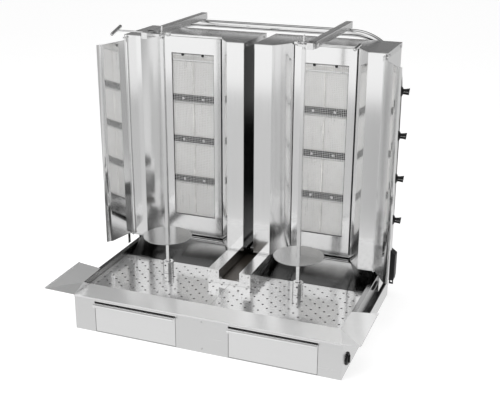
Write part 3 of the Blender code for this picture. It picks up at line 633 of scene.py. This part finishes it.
def knob(side, index):
    """Burner knob: round skirt, collar and a lever grip with a pale line, a painted highlight."""
    word = SIDES[side]
    node = f"gas_knob_{word}_{index}"
    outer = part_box(node)
    face = outer[0].x if side > 0 else outer[1].x
    origin = Vector((face, middle(node).y, middle(node).z))
    reach = (outer[1].x - outer[0].x) / MM
    skirt = (outer[1].z - outer[0].z) / 2 / MM
    bore = 4.4
    profile = [(bore, 0.4), (skirt - 0.6, 0), (skirt, 0.8), (skirt - 0.6, 13.0), (skirt - 3.0, 16.0)]
    profile += [(12.0, 17.5), (11.0, 19.0), (bore, 19.0)]
    collar = turned(profile, 64, origin, Vector((side, 0, 0)), closed=True)
    grip = lever_grip(reach)
    grip.transform(Matrix.Diagonal((side * MM, MM, MM, 1)))
    if side < 0:
        bmesh.ops.reverse_faces(grip, faces=grip.faces)
    grip.transform(Matrix.Translation(origin))
    piece(node + "_moulded", merged([collar, grip]), "black", f"knob_{word}_{index}", [node])
    # Painted highlight: a pale strip along the front of the grip
    front = Vector((0, -KNOB_GRIP_HALF * MM, 0))
    start = origin + front + Vector((side * 20 * MM, -0.3 * MM, -0.9 * MM))
    end = origin + front + Vector((side * (reach - 4) * MM, 0.3 * MM, 0.9 * MM))
    piece(f"knob_highlight_line_{word}_{index}", slab(start, end), "mark", f"knob_{word}_{index}", bevel=0.15)


def switch():
    """Motor switch: round bezel, turning knob and its pointer."""
    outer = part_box("switch_bezel")
    centre = middle("switch_bezel")
    face = Vector((outer[0].x, centre.y, centre.z))
    radius = (outer[1].z - outer[0].z) / 2 / MM
    bore = 15.8
    ring = [(bore, 0.2), (radius - 0.5, 0), (radius, 0.6), (radius - 0.3, 3.0), (radius - 2.6, 5.6)]
    ring += [(radius - 3.4, 6), (bore + 0.6, 6), (bore, 5.4)]
    bezel = turned(ring, 72, face, X_AXIS, closed=True)
    piece("switch_bezel_moulded", bezel, "black", "base", ["switch_bezel"])
    cup = [(0, 0.4), (15.4, 0.4), (15.4, 1.8), (0, 1.8)]
    piece("switch_cup", turned(cup, 48, face, X_AXIS), "dark", "base")
    reach = (high("switch_knob").x - outer[0].x) / MM
    button = [(0, 2.4), (14.4, 2.4), (14.8, 2.8), (14.8, 4.0), (13.6, 5.4), (0, 5.4)]
    grip_foot = face + Vector((4, -3.6, -12.6)) * MM
    grip = slab(grip_foot, face + Vector((reach, 3.6, 12.6)) * MM)
    turning = merged([turned(button, 60, face, X_AXIS), grip])
    piece("switch_knob_moulded", turning, "black", "switch", ["switch_knob"], bevel=0.8)
    mark_foot = face + Vector((reach - 0.3, -0.7, 3)) * MM
    mark = slab(mark_foot, face + Vector((reach + 0.3, 0.7, 11)) * MM)
    piece("switch_pointer", mark, "mark", "switch", bevel=0.15)


# ---- fasteners -----------------------------------------------------------------------
def screw_head(origin, axis, radius):
    """A pan head with a cross recess, its underside at the origin."""
    bm = bmesh.new()
    segments = 32
    height = radius * 0.62
    dome = [(1.0, 0.0), (1.0, 0.28), (0.86, 0.72), (0.62, 0.94)]
    recess = [(0.60, 0.95), (0.42, 0.50)]
    rings = []
    for scale, lift in dome + recess:
        ring = []
        for i in range(segments):
            angle = 2 * math.pi * i / segments
            reach = radius * scale * MM
            if (scale, lift) in recess:
                reach *= 0.30 + 0.70 * abs(math.cos(2 * angle)) ** 3
            point = (reach * math.cos(angle), reach * math.sin(angle), height * lift * MM)
            ring.append(bm.verts.new(point))
        rings.append(ring)
    skinned(bm, rings)
    bm.transform(frame_of(axis, origin))
    return bm


def washer(origin, axis, inner, outer, thick):
    """A flat ring with eased edges."""
    ease = thick * 0.25
    rim = [(outer - ease, 0), (outer, ease), (outer, thick - ease), (outer - ease, thick)]
    return turned([(inner, 0)] + rim + [(inner, thick)], 40, origin, axis, closed=True)


def fascia_screws():
    """Two screws on the centreline of the front panel."""
    front = low("front_fascia").y
    tall = high("front_fascia").z
    heads = [screw_head(Vector((0, front, height)), -Y_AXIS, 3.6) for height in (15 * MM, tall - 14 * MM)]
    piece("fascia_screws", merged(heads), "bar", "base")


def guide_screws():
    """Four screws on the guide's front plate."""
    front = low("centre_guide").y
    half = high("centre_guide").x
    height = high("centre_guide").z - 10 * MM
    heads = []
    for side in SIDES:
        for inset in (9 * MM, 33 * MM):
            heads.append(screw_head(Vector((side * (half - inset), front, height)), -Y_AXIS, 3.2))
    piece("guide_screws", merged(heads), "bar", "base")


def thumb_screw():
    """Knurled lock screw that stands out of the guide's right side."""
    wall = high("centre_guide").x
    origin = Vector((wall - 1 * MM, low("centre_guide").y + 30 * MM, high("centre_guide").z - 27 * MM))
    axis = Vector((1.0, -0.55, -0.35)).normalized()
    shank = turned([(0, -2), (4, -2), (4, 8), (0, 8)], 24, origin, axis)
    profile = [(0, 6), (8.4, 6), (9.4, 7), (9.4, 23), (8.4, 24), (6.8, 24.2), (6.4, 23.4), (0, 23.4)]
    head = turned(profile, 72, origin, axis)
    turn = frame_of(axis, origin)
    back = turn.inverted()
    for vertex in head.verts:
        local = back @ vertex.co
        radius = math.hypot(local.x, local.y)
        if radius > 9.3 * MM:
            ripple = 1 + 0.025 * math.cos(36 * math.atan2(local.y, local.x))
            vertex.co = turn @ Vector((local.x * ripple, local.y * ripple, local.z))
    piece("guide_thumb_screw", merged([shank, head]), "bar", "base")


def cover_screws(side):
    """Two screws in each side flange of a housing's cover."""
    word = SIDES[side]
    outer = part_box(f"top_cover_{word}")
    height = outer[0].z + 9 * MM
    long = outer[1].y - outer[0].y
    heads = []
    for face, axis in ((outer[0].x, -X_AXIS), (outer[1].x, X_AXIS)):
        for share in (0.12, 0.88):
            heads.append(screw_head(Vector((face, outer[0].y + long * share, height)), axis, 4.0))
    piece(f"cover_screws_{word}", merged(heads), "bar", f"housing_{word}")


def arm_bolts(side):
    """Clamp plate with its two bolts where a slider enters its arm."""
    word = SIDES[side]
    front = low(f"top_arm_{word}").y
    centre = middle(f"slider_bar_{word}").z
    inward = Vector((-side, 0, 0))
    wall = middle(f"top_arm_{word}").x - side * 12.5 * MM
    half_height = 11.5 * MM
    plate = slab((wall, front + 1 * MM, centre - half_height),
                 (wall + inward.x * 2.2 * MM, front + 46 * MM, centre + half_height))
    heads = [plate]
    for along in (9, 38):
        spot = Vector((wall + inward.x * 2.0 * MM, front + along * MM, centre + 2 * MM))
        heads.append(bolt_head(5.2, 4.2, 6, spot, inward))
    piece(f"arm_clamp_{word}", merged(heads), "bar", "base", bevel=0.5)


def bearing_latch(side):
    """Short thumb knob on the inboard side of a bearing fork, with its neck."""
    word = SIDES[side]
    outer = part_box(f"slider_bar_{word}")
    inner = outer[0].x if side > 0 else outer[1].x
    centre = Vector((inner, middle(f"spit_{word}").y, middle(f"slider_bar_{word}").z))
    neck = [(0, -2), (3.4, -2), (3.4, 5), (5.2, 6), (7.4, 7.5)]
    knurl = [(8.2, 9.5), (8.2, 13), (7.0, 13.8), (7.0, 14.8), (8.2, 15.6), (8.2, 18.0)]
    end = [(7.0, 20.0), (4.0, 21.2), (0, 21.4)]
    shape = turned(neck + knurl + end, 40, centre, Vector((-side, 0, 0)))
    piece(f"bearing_latch_{word}", shape, "chrome", f"slider_{word}")


def hinge_brackets(side):
    """Angle brackets with an eye round the door's pin, above and below the door, and a pin cap."""
    word = SIDES[side]
    pin = Vector(joints[f"door_{word}_swing"]["pos_m"])
    face = low(f"reflector_panel_{word}").y
    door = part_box(f"side_door_{word}")
    ring = [(3.5, 0), (7.2, 0), (7.6, 0.4), (7.6, 1.6), (7.2, 2.0), (3.5, 2.0)]
    for place, level, way in (("upper", door[1].z - 7 * MM, 1), ("lower", door[0].z + 5 * MM, -1)):
        eye = turned(ring, 40, Vector((pin.x, pin.y, level)), closed=True)
        strap_end = (pin.x + 6 * MM, face - 0.2 * MM, level + 2 * MM)
        strap = slab((pin.x - 6 * MM, pin.y + 5 * MM, level), strap_end)
        rise = 16 * MM * -way
        plate_end = (pin.x + 9 * MM, face - 0.1 * MM, level + rise)
        plate = slab((pin.x - 9 * MM, face - 2.0 * MM, level), plate_end)
        heads = []
        for shift in (-4.6, 4.6):
            spot = Vector((pin.x + shift * MM, face - 2.0 * MM, level + rise * 0.62))
            heads.append(screw_head(spot, -Y_AXIS, 2.6))
        shape = merged([eye, strap, plate] + heads)
        piece(f"hinge_{place}_{word}", shape, "bar", f"housing_{word}", bevel=0.25)
        if place == "upper":
            foot = Vector((pin.x, pin.y, level + 2.4 * MM))
            cap = turned([(0, 0), (4.8, 0), (4.8, 1.2), (3.2, 2.4), (0, 2.6)], 28, foot)
            piece(f"hinge_pin_cap_{word}", cap, "bar", f"door_{word}")


def front_line(node):
    """The front edge of a folded panel's foot, from its lowest vertices, left to right."""
    foot = low(node).z
    corners = [vertex.co for vertex in nodes[node].data.vertices if vertex.co.z < foot + 0.1 * MM]
    line = []
    for corner in sorted(corners, key=lambda point: point.x):
        if line and corner.x - line[-1].x < 1.6 * MM:
            if corner.y < line[-1].y:
                line[-1] = corner.copy()
        else:
            line.append(corner.copy())
    return line


def foot_flange(side):
    """Folded strip under the front of a housing, along the same bends as its reflector."""
    word = SIDES[side]
    line = front_line(f"reflector_panel_{word}")
    top = line[0].z - 0.9 * MM
    foot = high("centre_guide").z + 0.7 * MM
    set_back = 0.6 * MM
    thick = 1.2 * MM
    bm = bmesh.new()
    rings = []
    for point in line:
        front = point.y + set_back
        section = [(front, foot), (front, top), (front + thick, top), (front + thick, foot)]
        rings.append([bm.verts.new((point.x, y, z)) for y, z in section])
    piece(f"foot_flange_{word}", skinned(bm, rings), "bar", f"housing_{word}", angle=20)


def rail_hook(side):
    """Bent wire hook at the front end of a side rail's channel."""
    word = SIDES[side]
    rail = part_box(f"side_rail_{word}")
    x = (rail[1].x if side > 0 else rail[0].x) - side * 6 * MM
    front = low("rear_apron").y - 190 * MM
    foot = rail[0].z + 2 * MM
    bend = 6 * MM
    shoulder = foot + 54 * MM
    path = [Vector((x, front, foot)), Vector((x, front, shoulder))]
    for i in range(1, 9):
        angle = math.pi * i / 8
        y = front + bend - bend * math.cos(angle)
        path.append(Vector((x, y, shoulder + bend * math.sin(angle))))
    path.append(Vector((x, front + 2 * bend, shoulder - 8 * MM)))
    piece(f"rail_hook_{word}", swept(path, 1.4 * MM, 14), "chrome", "base")


# ---- burner window -------------------------------------------------------------------
GUARD_PITCH = 6.6      # mesh of the guard, millimetres
GUARD_WIRE = 0.65      # half a wire's thickness
GUARD_WAVE = 0.4       # how far a wire swings at each crossing
SCREW_SPREAD = 41      # screws of the cross strips, either side of the window's centre


def woven_wire(start, along, across, crossings, phase):
    """One wire of a plain weave: it passes over and under the wires it crosses."""
    bm = bmesh.new()
    corners = [(across, 1), (Y_AXIS, 1), (across, -1), (Y_AXIS, -1)]
    rings = []
    for i in range(crossings):
        wave = GUARD_WAVE * MM * (1 if (i + phase) % 2 else -1)
        centre = start + along * (i * GUARD_PITCH * MM) + Y_AXIS * wave
        ring = [centre + direction * (sign * GUARD_WIRE * MM) for direction, sign in corners]
        rings.append([bm.verts.new(point) for point in ring])
    return skinned(bm, rings)


def guard(side):
    """Woven wire screen across the burner window, with a dark strip of painted shade round it."""
    word = SIDES[side]
    node = f"wire_guard_{word}"
    first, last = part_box(node)
    depth = (first.y + last.y) / 2
    columns = int((last.x - first.x) / MM / GUARD_PITCH)
    rows = int((last.z - first.z) / MM / GUARD_PITCH)
    left = middle(node).x - (columns - 1) * GUARD_PITCH * MM / 2
    foot = middle(node).z - (rows - 1) * GUARD_PITCH * MM / 2
    wires = []
    for i in range(columns):
        start = Vector((left + i * GUARD_PITCH * MM, depth, foot))
        wires.append(woven_wire(start, Z_AXIS, X_AXIS, rows, i))
    for i in range(rows):
        start = Vector((left, depth, foot + i * GUARD_PITCH * MM))
        wires.append(woven_wire(start, X_AXIS, Z_AXIS, columns, i + 1))
    piece(f"woven_guard_{word}", merged(wires), "wire", f"housing_{word}", [node], angle=80)
    window_shade_strip(side)


def window_shade_strip(side):
    """Dark strip just inside the window: painted shade along the window's edge."""
    word = SIDES[side]
    first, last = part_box(f"wire_guard_{word}")
    inset = 12 * MM
    wide = 1.5 * MM
    left, right = first.x + inset, last.x - inset
    foot, top = first.z + 9 * MM, last.z - 9 * MM
    front, back = first.y - 0.2 * MM, first.y + 0.5 * MM
    # Painted shade: four dark strips along the window's edges
    strips = [
        slab((left, front, foot), (left + wide, back, top)),
        slab((right - wide, front, foot), (right, back, top)),
        slab((left + wide, front, foot), (right - wide, back, foot + wide)),
        slab((left + wide, front, top - wide), (right - wide, back, top)),
    ]
    piece(f"guard_shade_strip_{word}", merged(strips), "dark", f"housing_{word}", bevel=0.2)


def gap_levels(side):
    """Heights of the gaps between a housing's burners, a little above their middles."""
    word = SIDES[side]
    levels = []
    for index in range(1, BURNERS):
        below = high(f"burner_{word}_{index}").z
        above = low(f"burner_{word}_{index + 1}").z
        levels.append((below + above) / 2 + 3 * MM)
    return levels


def guard_screws(side, level):
    """Two screws with washers through the guard, at one height."""
    node = f"wire_guard_{SIDES[side]}"
    heads = []
    for shift in (-SCREW_SPREAD, SCREW_SPREAD):
        spot = Vector((middle(node).x + shift * MM, low(node).y - 0.4 * MM, level))
        heads.append(washer(spot, -Y_AXIS, 2.0, 5.4, 0.9))
        heads.append(screw_head(spot - Y_AXIS * 0.8 * MM, -Y_AXIS, 3.4))
    return heads


def dividers(side):
    """Heat-stained cross strips with a pressed ridge, each held by two screws."""
    word = SIDES[side]
    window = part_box(f"wire_guard_{word}")
    centre = middle(f"wire_guard_{word}").x
    back = window[1].y + 0.2 * MM
    half = (window[1].x - window[0].x) / 2 - 2 * MM
    profile = [(-13, 0), (-2.2, 0), (-1.2, 0.8), (1.2, 0.8), (2.2, 0), (13, 0)]
    strips = []
    heads = []
    for level in gap_levels(side):
        bm = bmesh.new()
        rings = []
        for x in (centre - half, centre + half):
            front = [bm.verts.new((x, back - rise * MM, level + up * MM)) for up, rise in profile]
            rear = [bm.verts.new((x, back + 0.5 * MM, level + up * MM)) for up, rise in reversed(profile)]
            rings.append(front + rear)
        strips.append(skinned(bm, rings))
        heads += guard_screws(side, level)
    piece(f"burner_dividers_{word}", merged(strips), "stained", f"housing_{word}")
    piece(f"guard_screws_{word}", merged(heads), "bar", f"housing_{word}")


def top_strip(side):
    """Pale heat-shield strip with a row of punched holes, above the top burner."""
    word = SIDES[side]
    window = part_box(f"wire_guard_{word}")
    centre = middle(f"wire_guard_{word}").x
    top = window[1].z - 6 * MM
    base = high(f"burner_{word}_{BURNERS}").z + 2 * MM
    back = window[1].y + 0.3 * MM
    half = (window[1].x - window[0].x) / 2 - 2 * MM
    plate = slab((centre - half, back, base), (centre + half, back + 0.8 * MM, top))
    count = 23
    pitch = 8 * MM
    punches = []
    for i in range(count):
        x = centre + (i - (count - 1) // 2) * pitch
        spot = Vector((x, back - 2 * MM, (base + top) / 2 + 2 * MM))
        punches.append(drill(2.6, 6, 16, spot, Y_AXIS))
    piece(f"heat_strip_{word}", cut(plate, merged(punches)), "rope", f"housing_{word}")
    heads = guard_screws(side, top - 8 * MM)
    piece(f"heat_strip_screws_{word}", merged(heads), "dark", f"housing_{word}")


PLAQUE_HALF = (44, 62)
PLAQUE_SHIFT = 48        # a plaque's centre from the burner's


def plaques(side):
    """Pitted ceramic faces, two to a burner, with a fibre seam between and around them."""
    word = SIDES[side]
    centre = middle(f"wire_guard_{word}").x
    edge = PLAQUE_SHIFT + PLAQUE_HALF[0] + 2.2
    height = PLAQUE_HALF[1] * MM
    for index in range(1, BURNERS + 1):
        node = f"burner_{word}_{index}"
        face = low(node).y - 0.5 * MM
        level = middle(node).z
        faces = []
        for shift in (-PLAQUE_SHIFT, PLAQUE_SHIFT):
            faces.append(pitted_plaque(Vector((centre + shift * MM, face, level)), *PLAQUE_HALF))
        piece(f"plaques_{word}_{index}", merged(faces), "ceramic", f"housing_{word}", angle=50)
        seam = face + 0.6 * MM
        cords = []
        for x in (-edge, 0, edge):
            ends = [Vector((centre + x * MM, seam, level + way * height)) for way in (-1, 1)]
            cords.append(swept(ends, 4.2 * MM if x == 0 else 2.2 * MM, 12))
        for way in (-1, 1):
            z = level + way * (height + 1.6 * MM)
            ends = [Vector((centre + x * MM, seam, z)) for x in (0.2 - edge, edge - 0.2)]
            cords.append(swept(ends, 1.5 * MM, 12))
        piece(f"plaque_seals_{word}_{index}", merged(cords), "rope", f"housing_{word}")


def pitted_plaque(centre, half_width, half_height):
    """A ceramic face crossed by shallow V grooves both ways, as a field of small pillows."""
    pitch = 6.2
    columns = 2 * int(2 * half_width / pitch)
    rows = 2 * int(2 * half_height / pitch)
    step_x = 2 * half_width / columns
    step_z = 2 * half_height / rows
    bm = bmesh.new()
    grid = []
    for j in range(rows + 1):
        line = []
        for i in range(columns + 1):
            crown = i % 2 and j % 2
            edge = i in (0, columns) or j in (0, rows)
            rise = 1.1 if crown else (0.0 if edge else 0.25)
            x = i * step_x - half_width
            z = j * step_z - half_height
            line.append(bm.verts.new((x * MM, -rise * MM, z * MM)))
        grid.append(line)
    for low_line, high_line in zip(grid, grid[1:]):
        for corners in zip(low_line, low_line[1:], high_line[1:], high_line):
            bm.faces.new(corners)
    rim = bmesh.ops.extrude_edge_only(bm, edges=[edge for edge in bm.edges if edge.is_boundary])["geom"]
    for vertex in [item for item in rim if isinstance(item, bmesh.types.BMVert)]:
        vertex.co.y = 0.6 * MM
    back = [item for item in rim if isinstance(item, bmesh.types.BMEdge)]
    bmesh.ops.contextual_create(bm, geom=back)
    bmesh.ops.recalc_face_normals(bm, faces=bm.faces)
    bm.transform(Matrix.Translation(centre))
    return bm


# ---- drip trays ----------------------------------------------------------------------
HOLE_PITCH = (48.2, 47.3)     # across and along a tray; every other row is shifted by half
HOLE_INSET = (24.5, 26.7)     # first hole from the centre plane and from the tray's front
HOLE_ROWS = 11
HOLE_COLUMNS = 10
HOLE_RADIUS = 4.0
DRIVE_CLEARANCE = 30


def hole_places(side):
    """Centres of a tray's staggered holes, clear of the guide and of the spit's drive."""
    first = low(f"drip_tray_{SIDES[side]}")
    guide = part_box("centre_guide")
    drive = middle(f"drive_socket_{SIDES[side]}")
    places = []
    for row in range(HOLE_ROWS):
        y = first.y + (HOLE_INSET[1] + row * HOLE_PITCH[1] / 2) * MM
        shifted = row % 2
        for column in range(HOLE_COLUMNS - shifted):
            x = side * (HOLE_INSET[0] + (column + shifted / 2) * HOLE_PITCH[0]) * MM
            under_guide = abs(x) < guide[1].x + 5 * MM and y > guide[0].y - 6 * MM
            near_drive = math.hypot(x - drive.x, y - drive.y) < DRIVE_CLEARANCE * MM
            if not under_guide and not near_drive:
                places.append(Vector((x, y, 0)))
    return places


def tray(side):
    """Perforated drip tray: a shallow inverted pan of thin sheet with round holes."""
    word = SIDES[side]
    node = f"drip_tray_{word}"
    first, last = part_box(node)
    wall = Vector((1.2, 1.2, 1.2)) * MM
    pan = slab(first, last)
    upright = [edge for edge in pan.edges if abs(edge.verts[0].co.z - edge.verts[1].co.z) > MM]
    bmesh.ops.bevel(pan, geom=upright, offset=2 * MM, segments=4, affect="EDGES", profile=0.5)
    surface = last.z - 0.01 * MM
    rim = [edge for edge in pan.edges if min(vertex.co.z for vertex in edge.verts) > surface]
    bmesh.ops.bevel(pan, geom=rim, offset=1.0 * MM, segments=3, affect="EDGES", profile=0.5)
    hollow_foot = Vector((first.x + wall.x, first.y + wall.y, first.z - wall.z))
    pan = cut(pan, slab(hollow_foot, last - wall))
    below = last.z - 10 * MM
    drive = middle(f"drive_socket_{word}")
    tools = [drill(12, 20, 48, Vector((drive.x, drive.y, below)))]
    for place in hole_places(side):
        tools.append(drill(HOLE_RADIUS, 20, 20, Vector((place.x, place.y, below))))
    piece(f"punched_tray_{word}", cut(pan, merged(tools)), "tray", "base", [node], angle=15)


# ---- the object ----------------------------------------------------------------------
dress_cad()
hoop()
switch()
fascia_screws()
guide_screws()
thumb_screw()
rail_hook(1)
for hand in SIDES:
    tray(hand)
    disc(hand)
    weld_spots(hand)
    socket(hand)
    t_handle(hand)
    arm_bolts(hand)
    bearing_latch(hand)
    cover_screws(hand)
    hinge_brackets(hand)
    foot_flange(hand)
    guard(hand)
    dividers(hand)
    top_strip(hand)
    plaques(hand)
    for number in range(1, BURNERS + 1):
        knob(hand, number)


# ---- stage: floor, light and camera --------------------------------------------------
def floor_levels(graph, ray):
    """What polished steel mirrors of the floor: light in front, a dark band behind.

    Rays that reach the floor behind after several mirrorings come out of the narrow gap
    between the housings, which gets painted shade.  So does the floor under the base, as a painted
    shadow.
    """
    place = graph.node("ShaderNodeNewGeometry").outputs["Position"]
    spot = graph.node("ShaderNodeSeparateXYZ", {"Vector": place})
    across = spot.outputs["X"]
    depth = spot.outputs["Y"]

    far = graph.smooth(depth, -3.4, -3.1, 1.0, 0.0)
    slant = graph.math("SUBTRACT", across, graph.math("MULTIPLY", depth, 0.28))
    lit = graph.smooth(slant, 0.25, 0.6, 0.62, 0.48)
    near = graph.smooth(depth, -1.1, -0.5)
    ahead = graph.blend(near, graph.blend(far, lit, 1.0), 0.72)

    # Painted shadow: the floor under the base is dark in mirrors
    foot = high("base_shell")
    beside = graph.math("SUBTRACT", graph.math("ABSOLUTE", across), foot.x)
    before = graph.math("SUBTRACT", graph.math("ABSOLUTE", depth), foot.y)
    beyond = graph.smooth(graph.math("MAXIMUM", beside, before), -0.05, -0.02, 0.02, 1.0)
    ahead = graph.math("MULTIPLY", ahead, beyond)

    fading = graph.smooth(depth, 0.7, 1.4, 1.0, 0.03)
    behind = graph.math("MAXIMUM", fading, graph.smooth(depth, 2.5, 3.3, 0.0, 0.8))
    # Painted shade in the gap between the housings, found from the count of mirrorings
    often = graph.smooth(ray.outputs["Glossy Depth"], 1.0, 2.0)
    trapped = graph.math("MINIMUM", often, graph.smooth(depth, 0.3, 0.6))
    behind = graph.math("MULTIPLY", behind, graph.blend(trapped, 1.0, 0.10))
    return graph.math("MULTIPLY", ahead, behind)


def floor():
    """A wide pale floor that looks plain to the eye and has its own levels in mirrors."""
    bm = bmesh.new()
    bmesh.ops.create_circle(bm, cap_ends=True, segments=96, radius=30.0)
    item = bare_object("studio_floor", bm)
    item.location.z = cad_box[0].z - 0.0005
    made, graph, shader = material("floor_white")
    speckle = graph.noise(40.0, detail=2.0)
    graph.feed(shader.inputs["Base Color"], graph.ramp(speckle, [(0.0, 0.84), (1.0, 0.88)]))
    shader.inputs["Roughness"].default_value = 0.9
    ray = graph.node("ShaderNodeLightPath")
    mirrored = graph.node("ShaderNodeEmission", {"Color": graph.grey(floor_levels(graph, ray))})
    lift = graph.node("ShaderNodeEmission", {"Color": (1, 1, 1, 1), "Strength": 0.8})
    unlit = graph.node("ShaderNodeEmission", {"Strength": 0.0})
    dimmed = graph.node("ShaderNodeMixShader", {0: 0.5, 1: shader.outputs[0], 2: unlit.outputs[0]})
    pale = graph.node("ShaderNodeAddShader", {0: dimmed.outputs[0], 1: lift.outputs[0]})
    seen = graph.node("ShaderNodeMixShader", {
        0: ray.outputs["Is Camera Ray"], 1: shader.outputs[0], 2: pale.outputs[0]})
    last = graph.node("ShaderNodeMixShader", {
        0: ray.outputs["Is Glossy Ray"], 1: seen.outputs[0], 2: mirrored.outputs[0]})
    graph.feed(made.node_tree.nodes["Material Output"].inputs["Surface"], last.outputs[0])
    item.data.materials.append(made)


def studio():
    """Plain studio surroundings: white to the eye, with soft bands for the steel to mirror."""
    world = bpy.data.worlds.new("studio")
    bpy.context.scene.world = world
    world.use_nodes = True
    graph = Graph(world.node_tree)
    direction = graph.node("ShaderNodeTexCoord").outputs["Generated"]
    parts = graph.node("ShaderNodeSeparateXYZ", {"Vector": direction})
    height = parts.outputs["Z"]
    front = graph.ramp(height, [(0.0, 0.95), (0.74, 0.95), (0.85, 0.15), (0.95, 0.15), (0.98, 1.0)])
    front = graph.mix(graph.smooth(parts.outputs["X"], 0.0, 0.5), front, (0.12, 0.12, 0.12, 1.0))
    back = graph.ramp(height, [(0.0, 0.9), (0.08, 0.9), (0.16, 0.10), (0.75, 0.10), (0.95, 0.8)])
    level = graph.mix(graph.smooth(parts.outputs["Y"], -0.15, 0.15), front, back)
    seen = graph.node("ShaderNodeLightPath").outputs["Is Camera Ray"]
    background = world.node_tree.nodes["Background"]
    graph.feed(background.inputs["Color"], graph.mix(seen, level, (1, 1, 1, 1)))
    background.inputs["Strength"].default_value = 1.0


def lamp(name, place, target, size, power):
    """A soft rectangular lamp."""
    data = bpy.data.lights.new(name, "AREA")
    data.shape = "RECTANGLE"
    data.size, data.size_y = size
    data.energy = power
    item = bpy.data.objects.new(name, data)
    item.location = place
    item.rotation_mode = "QUATERNION"
    item.rotation_quaternion = (Vector(target) - Vector(place)).to_track_quat("-Z", "Y")
    item.visible_glossy = False
    bpy.context.scene.collection.objects.link(item)


CAMERA_LENS = 63.73                       # millimetres, on Blender's 36 mm sensor
CAMERA_PLACE = (1.1137, -2.8159, 1.5487)
CAMERA_ANGLES = (20.77, 19.98, 0.31)      # azimuth, downward tilt and roll, in degrees


def camera():
    """The camera at the photograph's viewing angle."""
    data = bpy.data.cameras.new("view")
    data.lens = CAMERA_LENS
    item = bpy.data.objects.new("view", data)
    azimuth, tilt, roll = (math.radians(angle) for angle in CAMERA_ANGLES)
    level = Matrix.Rotation(azimuth, 4, "Z") @ Matrix.Rotation(math.pi / 2 - tilt, 4, "X")
    turn = level @ Matrix.Rotation(roll, 4, "Z")
    item.matrix_world = Matrix.Translation(CAMERA_PLACE) @ turn
    bpy.context.scene.collection.objects.link(item)
    bpy.context.scene.camera = item


floor()
studio()
lamp("key", (-1.5, -2.5, 3.2), (0, 0, 0.5), (2.5, 2.0), 60)
lamp("top", (0.3, 0.2, 3.4), (0, 0, 0), (3.0, 2.0), 40)
camera()
bpy.context.scene.view_settings.view_transform = "Standard"
